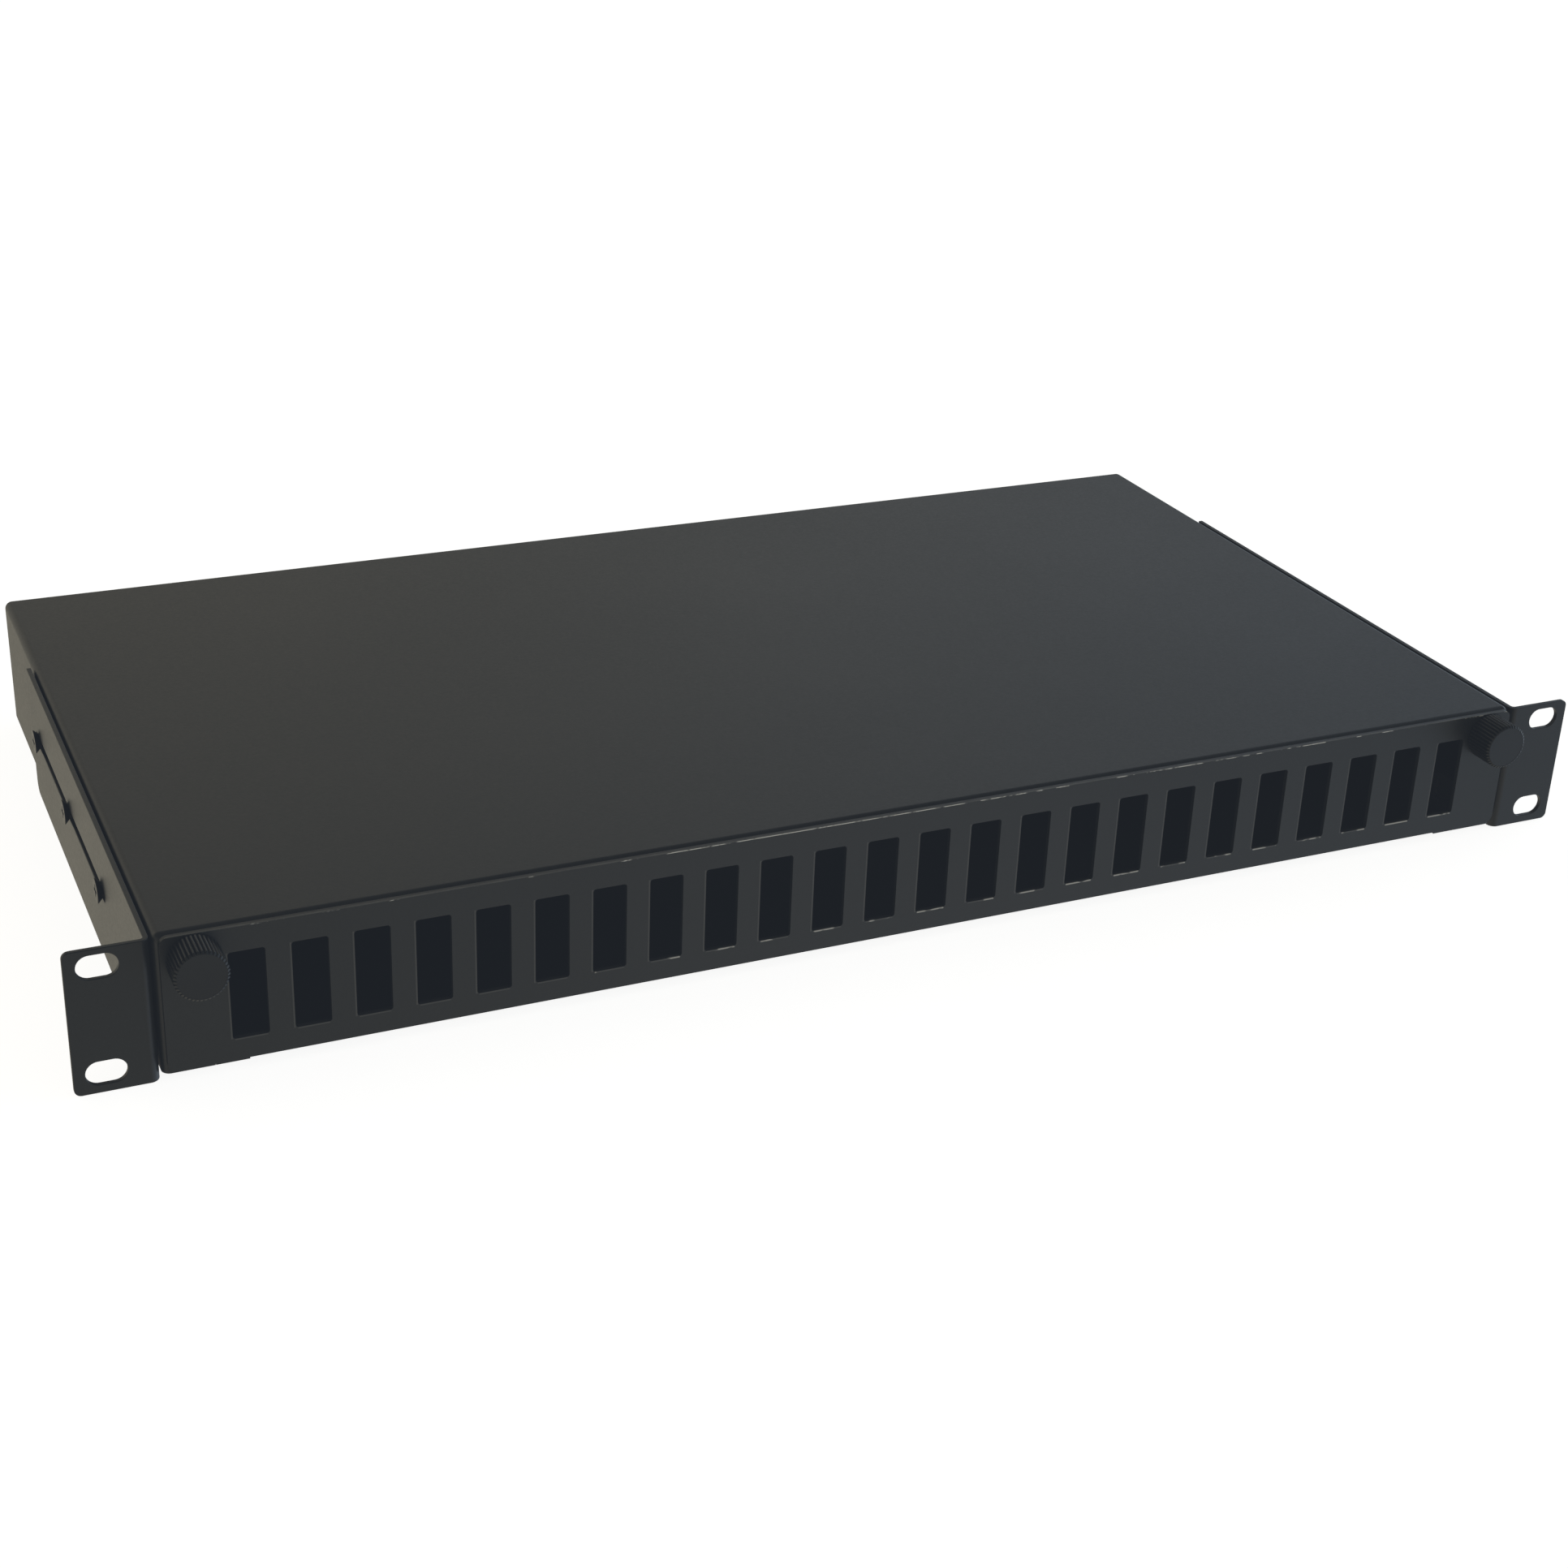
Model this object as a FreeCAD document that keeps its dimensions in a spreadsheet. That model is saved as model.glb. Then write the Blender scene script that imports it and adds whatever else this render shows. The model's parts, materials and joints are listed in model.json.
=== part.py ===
# Sliding rack-mount fibre termination box, 1 rack unit high, 24 front ports:
# a sheet casing with rack brackets, and a drawer that carries the front panel
# and the splice cassettes.
# Frame: origin at the centre of the four rack slots on the ears' front plane,
# +X to the right seen from the front, +Y to the rear, +Z up. Millimetres.
import FreeCAD, Part
import os
import Sketcher
from FreeCAD import Placement, Rotation, Vector

doc = FreeCAD.newDocument("FibreTerminationBox")

# ---------------------------------------------------------------- sizes
# alias, value, what it is
ROWS = [
    ("case_width", 436.6, "casing width over the cover sides"),
    ("case_depth", 246.0, "flange face to the rear face of the cover"),
    ("case_top", 21.85, "top face of the cover above the origin"),
    ("case_floor", -20.0, "underside of the base plate"),
    ("sheet", 1.2, "casing sheet"),
    ("bend", 2.4, "outer bend radius of the cover"),
    ("base_bend", 2.0, "outer bend radius of the base plate"),
    ("flange_width", 14.0, "front flange, from the casing side inward"),
    ("lip_depth", 5.4, "front lip of the cover, top to edge"),
    ("rear_lip", 10.0, "rear lip of the cover"),
    ("tab_inner", 195.0, "inner end of the base plate's front tabs"),
    ("recess", 10.0, "depth of the cut-back front edge of the base"),
    ("upstand", 12.0, "height of the base side upstands"),
    ("rear_screw_z", 16.6, "height of the rear cover screws"),
    ("side_screw_z", -14.0, "height of the side cover screws"),
    ("cover_screw", 1.5, "cover screw shank radius"),
    ("cover_screw_hole", 1.7, "cover screw hole radius"),
    ("cover_nut", 3.1, "press nut radius"),
    ("cover_nut_bore", 1.54, "press nut bore radius"),
    ("cover_nut_length", 2.0, "press nut length"),
    ("panel_width", 434.0, "front panel width"),
    ("panel_bottom", -18.6, "bottom edge of the front panel"),
    ("panel_top", 21.7, "top edge of the front panel"),
    ("panel_sheet", 1.5, "front panel sheet"),
    ("panel_corner", 2.5, "corner radius of the front panel"),
    ("panel_stud_z", -14.7, "height of the studs joining panel and tray"),
    ("panel_seat", 0.9, "depth of the stud seats in the panel's rear face"),
    ("port_total", 24, "ports"),
    ("port_pitch", 16.92, "port pitch"),
    ("port_width", 10.0, "port opening width"),
    ("port_height", 26.3, "port opening height"),
    ("port_mid", 1.0, "port centre height"),
    ("port_corner", 0.9, "port corner radius"),
    ("screw_x", 208.3, "thumbscrew centre from the middle"),
    ("screw_z", 14.4, "thumbscrew centre height"),
    ("ears_width", 482.6, "overall width over the ears"),
    ("ears_high", 21.15, "top of the rack brackets above the origin"),
    ("ears_low", -21.85, "bottom of the rack brackets"),
    ("ear_sheet", 1.5, "bracket sheet"),
    ("ear_gap", 0.5, "gap between casing side and bracket"),
    ("ear_bend", 2.5, "outer bend radius of the bracket"),
    ("ear_corner", 2.0, "ear corner radius"),
    ("bracket_length", 187.0, "bracket side plate length"),
    ("bracket_corner", 4.0, "lower rear corner radius of the bracket"),
    ("rack_x", 232.55, "rack slot centre, sideways"),
    ("rack_z", 15.875, "rack slot centre, up or down"),
    ("rack_slot_width", 7.0, "rack slot width"),
    ("rack_slot_length", 11.0, "rack slot length"),
    ("guide_z", 2.0, "height of the bracket guide slot"),
    ("guide_width", 3.6, "guide slot width"),
    ("guide_first", 67.0, "first slide stud behind the ear"),
    ("guide_pitch", 52.7, "slide stud pitch"),
    ("guide_over", 5.5, "slot end past the end studs"),
    ("stud_neck", 1.25, "slide stud neck radius"),
    ("stud_hole", 1.3, "slide stud hole radius in the cover"),
    ("stud_head_wide", 7.5, "slide screw head diameter"),
    ("stud_head_foot", 5.0, "slide screw head diameter at the bracket"),
    ("stud_head_proud", 1.6, "slide screw head height"),
    ("stud_head_land", 0.35, "straight rim of the slide screw head"),
    ("stud_recess", 0.9, "depth of the cross recess"),
    ("tray_half", 202.0, "drawer tray half width"),
    ("tray_end", 226.0, "rear face of the drawer tray"),
    ("tray_floor", -18.2, "underside of the drawer tray"),
    ("tray_wall", -3.8, "top of the drawer tray walls"),
    ("tray_sheet", 1.0, "drawer tray sheet"),
    ("tray_bend", 1.5, "outer bend radius of the drawer tray"),
    ("tray_front", -12.4, "top of the drawer tray front upstand"),
    ("ear_rise", 5.3, "rise of the tray's rear stop ears"),
    ("tray_relief", 10.0, "length of the low front end of the tray walls"),
    ("rail_web", 204.0, "inner face of the rail web"),
    ("rail_sheet", 1.2, "rail web thickness"),
    ("rail_start", 3.0, "front end of the rails"),
    ("rail_end", 231.0, "rear end of the rails"),
    ("rail_lip", 1.0, "thickness of the rail lips"),
    ("rail_gap", 0.1, "gap between runner and rail lips"),
    ("rail_rivet_out", 6.0, "rail rivet outward from the web's inner face"),
    ("rail_rivet_hole", 1.55, "rail rivet hole radius"),
    ("runner_low", -13.5, "bottom of the runners"),
    ("runner_high", -4.7, "top of the runners"),
    ("runner_hole", 1.3, "runner rivet hole radius"),
    ("runner_sink", 0.8, "runner left under the rivet heads"),
    ("knob_radius", 7.4, "thumbscrew knob radius over the knurl"),
    ("knob_length", 10.0, "thumbscrew knob length"),
    ("knob_stand", 0.5, "gap between knob and panel"),
    ("knob_recess", 7.0, "depth of the recess in the knob's rear"),
    ("knurls", 40, "knurl grooves round the knob"),
    ("knurl_depth", 0.8, "depth of the knurl grooves"),
    ("knurl_half", 0.37, "half width of a knurl groove at the knob's radius"),
    ("knob_face", 6.6, "radius of the knob's flat face"),
    ("thread_radius", 2.0, "thumbscrew thread radius"),
    ("gland_x", 170.0, "gland centre from the middle"),
    ("gland_z", -2.5, "gland centre height"),
    ("plug_x", 125.0, "blanking plug centre from the middle"),
    ("entry_radius", 10.25, "cable entry hole radius"),
    ("gland_flats", 24.0, "gland hexagon over the flats"),
    ("gland_gasket", 1.0, "gland gasket thickness"),
    ("gland_flutes", 12, "grip flutes round the gland nut"),
    ("cable_radius", 5.5, "bore of the gland seal"),
    ("earth_x", 60.0, "earth stud from the middle"),
    ("earth_z", -6.0, "earth stud height"),
    ("cassette_half", 80.0, "splice cassette half width"),
    ("cassette_front", 96.0, "front edge of the splice cassettes"),
    ("cassette_back", 204.0, "rear edge of the splice cassettes"),
    ("cassette_low", -14.2, "underside of the lower splice cassette"),
    ("cassette_tall", 11.0, "height of one splice cassette"),
    ("cassette_wall", 1.6, "wall of the splice cassettes"),
    ("cassette_corner", 12.0, "outer corner radius of the splice cassettes"),
    ("cassette_lid", 1.6, "thickness of the cassette lid"),
    ("post_x", 70.0, "cassette post from the middle"),
    ("post_y", 150.0, "cassette post behind the ears"),
    ("post_bore", 1.65, "post bore radius in cassettes and lid"),
    ("spool_x", 146.0, "bend guide centre from the middle"),
    ("spool_radius", 21.0, "outer radius of the bend guides"),
    ("spool_tall", 16.0, "height of the bend guides"),
]
sheet = doc.addObject("Spreadsheet::Sheet", "Sizes")
for row, (alias, value, note) in enumerate(ROWS, start=1):
    sheet.set("A%d" % row, note)
    sheet.set("B%d" % row, repr(value))
    sheet.setAlias("B%d" % row, alias)
doc.recompute()


class Size:
    """A number, and the spreadsheet expression that gives it."""

    def __init__(self, value, text):
        self.value, self.text = float(value), text

    @staticmethod
    def of(number):
        if isinstance(number, Size):
            return number
        return Size(number, "(%r)" % float(number))

    def __add__(self, other):
        other = Size.of(other)
        return Size(self.value + other.value, "(%s + %s)" % (self.text, other.text))

    def __sub__(self, other):
        other = Size.of(other)
        return Size(self.value - other.value, "(%s - %s)" % (self.text, other.text))

    def __mul__(self, other):
        other = Size.of(other)
        return Size(self.value * other.value, "(%s * %s)" % (self.text, other.text))

    def __truediv__(self, other):
        other = Size.of(other)
        return Size(self.value / other.value, "(%s / %s)" % (self.text, other.text))

    def __radd__(self, other):
        return Size.of(other) + self

    def __rsub__(self, other):
        return Size.of(other) - self

    def __rmul__(self, other):
        return Size.of(other) * self

    def __neg__(self):
        return Size(-self.value, "(0 - %s)" % self.text)


class Dimensions:
    """The spreadsheet's sizes, one attribute per alias."""


dim = Dimensions()
for alias, value, note in ROWS:
    setattr(dim, alias, Size(sheet.get(alias), "Sizes." + alias))

# ---------------------------------------------------------------- modelling helpers
PAST = 5.0  # how far cutting tools run past the sheet they cut
SIDES = (("left", -1), ("right", 1))
OUTWARD = {1: "x", -1: "-x"}
AXES = {"z": (0, 0, 1), "y": (0, 1, 0), "-y": (0, -1, 0), "x": (1, 0, 0), "-x": (-1, 0, 0)}
PARTS = {}


def camel(label):
    return label.title().replace("_", "")


def piece(label, o):
    """Labels an object and lists it for export."""
    o.Label = label
    PARTS[label] = o


def bind(o, prop, size):
    o.setExpression(prop, Size.of(size).text)


def place(o, x, y, z, axis="z", spin=0):
    """Points the object's own Z along an axis and binds its position."""
    turn = Rotation(Vector(0, 0, 1), Vector(*AXES[axis]))
    o.Placement = Placement(Vector(0, 0, 0), turn * Rotation(Vector(0, 0, 1), spin))
    bind(o, ".Placement.Base.x", x)
    bind(o, ".Placement.Base.y", y)
    bind(o, ".Placement.Base.z", z)


def box(name, x0, x1, y0, y1, z0, z1, side=1):
    """A box between two planes on each axis; side -1 mirrors it in X."""
    if side < 0:
        x0, x1 = -Size.of(x1), -Size.of(x0)
    o = doc.addObject("Part::Box", name)
    bind(o, "Length", Size.of(x1) - x0)
    bind(o, "Width", Size.of(y1) - y0)
    bind(o, "Height", Size.of(z1) - z0)
    place(o, x0, y0, z0)
    return o


def cyl(name, x, y, z, radius, length, axis="z"):
    o = doc.addObject("Part::Cylinder", name)
    bind(o, "Radius", radius)
    bind(o, "Height", length)
    place(o, x, y, z, axis)
    return o


def cone(name, x, y, z, start_radius, end_radius, length, axis="z"):
    o = doc.addObject("Part::Cone", name)
    bind(o, "Radius1", start_radius)
    bind(o, "Radius2", end_radius)
    bind(o, "Height", length)
    place(o, x, y, z, axis)
    return o


def hexagon(name, x, y, z, flats, length, axis="y", spin=0):
    o = doc.addObject("Part::Prism", name)
    o.Polygon = 6
    bind(o, "Circumradius", Size.of(flats) / 3 ** 0.5)
    bind(o, "Height", length)
    place(o, x, y, z, axis, spin)
    return o


def hole(name, x, y, z, radius, axis="z", reach=PAST):
    """A drilling tool that reaches equally far both ways from a point."""
    dx, dy, dz = AXES[axis]
    return cyl(name, x - reach * dx, y - reach * dy, z - reach * dz, radius, 2 * reach, axis)


def fuse(name, shapes):
    o = doc.addObject("Part::MultiFuse", name)
    o.Shapes = shapes
    return o


def cut(name, base, tools):
    o = doc.addObject("Part::Cut", name)
    o.Base = base
    o.Tool = tools[0] if len(tools) == 1 else fuse(name + "_tools", tools)
    return o


def group(label, shapes):
    """One piece made of several separate solids."""
    o = doc.addObject("Part::Compound", camel(label))
    o.Links = shapes
    piece(label, o)


def tube(name, x, y, z, radius, bore, length, axis="y"):
    blank = cyl(name + "_blank", x, y, z, radius, length, axis)
    return cut(name, blank, [hole(name + "_bore", x, y, z, bore, axis, length + 1)])


def hex_nut(name, x, y, z, flats, bore, length, axis="y", spin=0):
    blank = hexagon(name + "_blank", x, y, z, flats, length, axis, spin)
    return cut(name, blank, [hole(name + "_bore", x, y, z, bore, axis, length + 1)])


def cross_drive(name, axis, face, depth, across, z, arm, half_slot, side=1):
    """Two crossed slots sunk from a screw head's face, which looks along X or Y."""
    near_face, far = face - depth, face + 1
    tools = []
    for tag, wide, high in (("a", arm, half_slot), ("b", half_slot, arm)):
        a0, a1, z0, z1 = across - wide, across + wide, z - high, z + high
        if axis == "x":
            tools.append(box(name + tag, near_face, far, a0, a1, z0, z1, side))
        else:
            tools.append(box(name + tag, a0, a1, near_face, far, z0, z1))
    return tools


def along(edge, axis):
    """Whether an edge is a straight one along x, y or z."""
    if edge.Curve.TypeId != "Part::GeomLine":
        return False
    return abs(abs(getattr(edge.Curve.Direction, axis)) - 1) < 1e-6


def mid(edge):
    return edge.CenterOfMass


def near(coordinate, target):
    return abs(coordinate - Size.of(target).value) < 1e-3


def fillet(name, base, radius, wanted, kind="Part::Fillet"):
    """Rounds (or chamfers) the edges that the test picks."""
    doc.recompute()
    r = Size.of(radius).value
    picks = [(i, r, r) for i, e in enumerate(base.Shape.Edges, start=1) if wanted(e)]
    if not picks:
        raise RuntimeError("no edges for " + name)
    o = doc.addObject(kind, name)
    o.Base = base
    o.Edges = picks
    return o


# ---------------------------------------------------------------- sketch helpers
def origin_feature(body, role):
    return [f for f in body.Origin.OriginFeatures if f.Role == role][0]


def new_sketch(body, name, role):
    sketch = body.newObject("Sketcher::SketchObject", name)
    sketch.AttachmentSupport = [(origin_feature(body, role), "")]
    sketch.MapMode = "FlatFace"
    return sketch


def pin_point(sketch, geo, pos, x, y, tag):
    """Fixes a sketch point with two dimensions bound to the sheet."""
    for kind, size, letter, axis in (("DistanceX", x, "x", -2), ("DistanceY", y, "y", -1)):
        if abs(size.value) < 1e-9:
            # a point on an axis of the sketch
            sketch.addConstraint(Sketcher.Constraint("PointOnObject", geo, pos, axis))
            continue
        i = sketch.addConstraint(Sketcher.Constraint(kind, -1, 1, geo, pos, size.value))
        sketch.renameConstraint(i, "%s_%s" % (tag, letter))
        sketch.setExpression(".Constraints.%s_%s" % (tag, letter), size.text)


def polygon(sketch, corners):
    """A closed outline whose every corner is dimensioned from the sheet."""
    points = [(Size.of(x), Size.of(y)) for x, y in corners]
    vectors = [Vector(x.value, y.value, 0) for x, y in points]
    lines = [
        sketch.addGeometry(Part.LineSegment(start, end), False)
        for start, end in zip(vectors, vectors[1:] + vectors[:1])
    ]
    for this, following in zip(lines, lines[1:] + lines[:1]):
        sketch.addConstraint(Sketcher.Constraint("Coincident", this, 2, following, 1))
    for i, (x, y) in enumerate(points):
        pin_point(sketch, lines[i], 1, x, y, "p%d" % i)


def circle(sketch, x, y, radius, tag):
    x, y, radius = Size.of(x), Size.of(y), Size.of(radius)
    curve = Part.Circle(Vector(x.value, y.value, 0), Vector(0, 0, 1), radius.value)
    geo = sketch.addGeometry(curve, False)
    pin_point(sketch, geo, 3, x, y, tag)
    i = sketch.addConstraint(Sketcher.Constraint("Radius", geo, radius.value))
    sketch.renameConstraint(i, tag + "_r")
    sketch.setExpression(".Constraints.%s_r" % tag, radius.text)


def rectangle(sketch, x0, x1, y0, y1):
    polygon(sketch, [(x0, y0), (x1, y0), (x1, y1), (x0, y1)])


def pocket_forward(body, name, sketch, length, before):
    """A pocket along the sketch normal, turned round if it would cut nothing."""
    pocket = body.newObject("PartDesign::Pocket", name)
    pocket.Profile = sketch
    bind(pocket, "Length", length)
    for reverse in (True, False):
        pocket.Reversed = reverse
        doc.recompute()
        if abs(pocket.Shape.Volume - before.Shape.Volume) >= 0.05:
            return pocket
    raise RuntimeError(name + " cuts nothing")


def pocket_through(body, name, sketch):
    pocket = body.newObject("PartDesign::Pocket", name)
    pocket.Profile = sketch
    pocket.Type = 1
    pocket.Midplane = True
    doc.recompute()
    return pocket


def turned_grip(label, outline, draw_groove, groove_length, count, x, y, z, axis):
    """A turned body with grooves round it: outline is (radius, height) points."""
    body = doc.addObject("PartDesign::Body", camel(label))
    profile = new_sketch(body, label + "_profile", "XZ_Plane")
    polygon(profile, outline)
    turned = body.newObject("PartDesign::Revolution", label + "_turned")
    turned.Profile = profile
    turned.ReferenceAxis = (profile, ["V_Axis"])
    turned.Angle = 360
    doc.recompute()
    groove_sketch = new_sketch(body, label + "_groove", "XY_Plane")
    draw_groove(groove_sketch)
    groove = pocket_forward(body, label + "_groove_cut", groove_sketch, groove_length, turned)
    ring = body.newObject("PartDesign::PolarPattern", label + "_grip")
    ring.Originals = [groove]
    ring.Axis = (origin_feature(body, "Z_Axis"), [""])
    ring.Angle = 360
    bind(ring, "Occurrences", count)
    body.Tip = ring
    doc.recompute()
    place(body, x, y, z, axis)
    piece(label, body)


# ---------------------------------------------------------------- shared places
half = dim.case_width / 2
inner_half = half - dim.sheet
door = half - dim.flange_width  # half width of the drawer opening
rear_wall = dim.case_depth - dim.sheet  # outer face of the base plate's rear wall
inside = rear_wall - dim.sheet  # inner face of the same wall
plate_in = half + dim.ear_gap  # inner and outer faces of the bracket side plates
plate_out = plate_in + dim.ear_sheet
floor_top = dim.tray_floor + dim.tray_sheet
runner_z = (dim.runner_low + dim.runner_high) / 2
rivet_x = dim.rail_web + dim.rail_rivet_out
lower_base = dim.cassette_low
upper_base = lower_base + dim.cassette_tall
stack_top = upper_base + dim.cassette_tall

rear_screw_x = [-150, 0, 150]
side_screws = [(30, 1), (150, 1), (30, -1), (150, -1)]  # y, side
stud_y = [dim.guide_first + dim.guide_pitch * k for k in range(3)]
rail_rivet_y = [30, 120, 215]
runner_rivet_y = [40, 118, 200]
panel_stud_x = [dim.port_pitch * steps for steps in (0, 4, -4, 8, -8, 11, -11)]


# ---------------------------------------------------------------- casing
def top_cover():
    """A lid formed from one sheet: top, two full-height sides, a short front lip,
    two front flanges beside the drawer opening and a short rear lip."""
    thumb_hole = 2.3

    def rounded(name, base, radius, top):
        return fillet(name, base, radius, lambda e: near(mid(e).z, top) or along(e, "z"))

    low = dim.case_floor - PAST
    under = dim.case_top - dim.sheet
    outer = box("lid_out", -half, half, 0, dim.case_depth, dim.case_floor, dim.case_top)
    outer = rounded("lid_soft", outer, dim.bend, dim.case_top)
    cavity = box("lid_in", -inner_half, inner_half, dim.sheet, rear_wall, low, under)
    cavity = rounded("lid_in_soft", cavity, dim.bend - dim.sheet, under)
    tools = [
        cavity,
        box("lid_door", -door, door, -PAST, dim.sheet + PAST, low, dim.case_top - dim.lip_depth),
        box("lid_rear", -half - PAST, half + PAST, rear_wall, dim.case_depth + PAST,
            low, dim.case_top - dim.rear_lip),
    ]
    for i, x in enumerate(rear_screw_x):
        tools.append(hole("lid_rear_hole_%d" % i, x, dim.case_depth, dim.rear_screw_z,
                          dim.cover_screw_hole, "y"))
    for i, (y, side) in enumerate(side_screws):
        tools.append(hole("lid_side_hole_%d" % i, side * half, y, dim.side_screw_z,
                          dim.cover_screw_hole, "x"))
        tools.append(cone("lid_side_sink_%d" % i, side * inner_half, y, dim.side_screw_z,
                          dim.cover_screw_hole, dim.cover_screw_hole + dim.sheet, dim.sheet,
                          OUTWARD[side]))
    for hand, side in SIDES:
        for k, y in enumerate(stud_y):
            tools.append(hole("lid_stud_hole_%s_%d" % (hand, k), side * half, y, dim.guide_z,
                              dim.stud_hole, "x"))
        tools.append(hole("lid_thumb_hole_" + hand, side * dim.screw_x, 0, dim.screw_z,
                          thumb_hole, "y"))
    piece("top_cover", cut("TopCover", outer, tools))


def base_plate():
    """Bottom, rear wall and low side upstands inside the cover; the front edge is
    cut back between two tabs that reach the flange face."""
    slack = 0.1  # clearance to the cover
    rear_return = 6.0  # full-height sides, forward from the rear wall
    corner_width, corner_depth = 2.0, 8.0  # relief at the rear corners
    top_relief = 1.4  # rear wall stands this far under the cover's top
    front_width, front_depth = 1.4, 1.5  # relief at the front of the upstands
    tab_overlap = 0.5
    earth_hole = 2.6

    def folded(name, base, radius, low):
        return fillet(name, base, radius, lambda e: near(mid(e).z, low)
                      and (along(e, "y") or (along(e, "x") and mid(e).y > 100)))

    floor = dim.case_floor
    low, high = floor - PAST, dim.case_top + PAST
    back = dim.case_depth + PAST
    under = dim.case_top - dim.sheet
    outer = box("base_out", -inner_half, inner_half, dim.sheet, rear_wall, floor, under - slack)
    outer = folded("base_soft", outer, dim.base_bend, floor)
    cavity = box("base_in", -inner_half + dim.sheet, inner_half - dim.sheet, -PAST, inside,
                 floor + dim.sheet, high)
    cavity = folded("base_in_soft", cavity, dim.base_bend - dim.sheet, floor + dim.sheet)
    tools = [
        cavity,
        box("base_low_sides", -half, half, -PAST, rear_wall - rear_return,
            floor + dim.upstand, high),
    ]
    # the rear wall clears the rounded inner corners of the cover
    for hand, side in SIDES:
        tools.append(box("base_corner_" + hand, inner_half - corner_width, half,
                         rear_wall - corner_depth, back, floor + dim.upstand, high, side))
    tools.append(box("base_top_relief", -half, half, dim.case_depth - 12, back,
                     under - top_relief, high))
    tools.append(box("base_recess", -dim.tab_inner, dim.tab_inner, -PAST, dim.recess,
                     low, floor + PAST))
    for hand, side in SIDES:
        tools.append(box("base_upright_" + hand, inner_half - corner_width, half,
                         inside - slack, back, low, high, side))
        for kind, x in (("gland", dim.gland_x), ("plug", dim.plug_x)):
            tools.append(hole("base_%s_hole_%s" % (kind, hand), side * x, dim.case_depth,
                              dim.gland_z, dim.entry_radius, "y"))
    tools.append(hole("base_earth_hole", dim.earth_x, dim.case_depth, dim.earth_z,
                      earth_hole, "y"))
    for i, x in enumerate(rear_screw_x):
        tools.append(hole("base_rear_hole_%d" % i, x, dim.case_depth, dim.rear_screw_z,
                          dim.cover_screw_hole, "y"))
    for i, (y, side) in enumerate(side_screws):
        tools.append(hole("base_side_hole_%d" % i, side * half, y, dim.side_screw_z,
                          dim.cover_screw_hole, "x"))
    for hand, side in SIDES:
        for k, y in enumerate(rail_rivet_y):
            tools.append(hole("base_rivet_hole_%s_%d" % (hand, k), side * rivet_x, y, floor,
                              dim.rail_rivet_hole))
        # the upstands stand clear of the rounded corners of the cover's flanges
        tools.append(box("base_front_clear_" + hand, inner_half - front_width, half,
                         -PAST, dim.sheet + front_depth, low, high, side))
    shell = cut("base_shell", outer, tools)
    tabs = [
        box("base_tab_" + hand, dim.tab_inner, door - slack, 0, dim.sheet + tab_overlap,
            floor, floor + dim.sheet, side)
        for hand, side in SIDES
    ]
    piece("base_plate", fuse("BasePlate", [shell] + tabs))


def rear_cover_screws():
    """Pan screws through the rear lip, and press nuts inside the base's rear wall."""
    head_foot, head_face, head_length = 2.8, 2.1, 2.0
    shank_inside, shank_length = 6.0, 6.5
    drive_depth, drive_arm, drive_half_slot = 1.1, 1.5, 0.35
    z = dim.rear_screw_z
    screws, nuts = [], []
    for i, x in enumerate(rear_screw_x):
        name = "rear_screw_%d" % i
        head = cone(name + "_head", x, dim.case_depth, z, head_foot, head_face,
                    head_length, "y")
        shank = cyl(name + "_shank", x, dim.case_depth - shank_inside, z,
                    dim.cover_screw, shank_length, "y")
        drive = cross_drive(name + "_drive_", "y", dim.case_depth + head_length, drive_depth,
                            x, z, drive_arm, drive_half_slot)
        screws.append(cut(name, fuse(name + "_body", [head, shank]), drive))
        nuts.append(tube("rear_nut_%d" % i, x, inside - dim.cover_nut_length, z,
                         dim.cover_nut, dim.cover_nut_bore, dim.cover_nut_length))
    group("rear_cover_screws", screws)
    group("rear_press_nuts", nuts)


def side_cover_screws():
    """Countersunk screws flush with the cover sides, and nuts inside the upstands."""
    head_foot, head_flare = 1.6, 1.58  # the face is head_flare plus the sheet
    shank_inside, shank_length = 5.6, 5.0
    drive_depth, drive_arm, drive_half_slot = 0.8, 1.4, 0.3
    z = dim.side_screw_z
    screws, nuts = [], []
    for i, (y, side) in enumerate(side_screws):
        name = "side_screw_%d" % i
        axis = OUTWARD[side]
        head = cone(name + "_head", side * inner_half, y, z, head_foot,
                    head_flare + dim.sheet, dim.sheet, axis)
        shank = cyl(name + "_shank", side * (half - shank_inside), y, z,
                    dim.cover_screw, shank_length, axis)
        drive = cross_drive(name + "_drive_", "x", half, drive_depth, y, z,
                            drive_arm, drive_half_slot, side)
        screws.append(cut(name, fuse(name + "_body", [head, shank]), drive))
        nut_x = side * (inner_half - dim.sheet - dim.cover_nut_length)
        nuts.append(tube("side_nut_%d" % i, nut_x, y, z, dim.cover_nut, dim.cover_nut_bore,
                         dim.cover_nut_length, axis))
    group("side_cover_screws", screws)
    group("side_press_nuts", nuts)


def flange_weld_nuts():
    """Round nuts behind the front flanges, for the thumbscrews."""
    radius, length, play = 3.6, 3.0, 0.05
    group("flange_weld_nuts", [
        tube("weld_nut_" + hand, side * dim.screw_x, dim.sheet, dim.screw_z,
             radius, dim.thread_radius + play, length)
        for hand, side in SIDES
    ])


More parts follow.
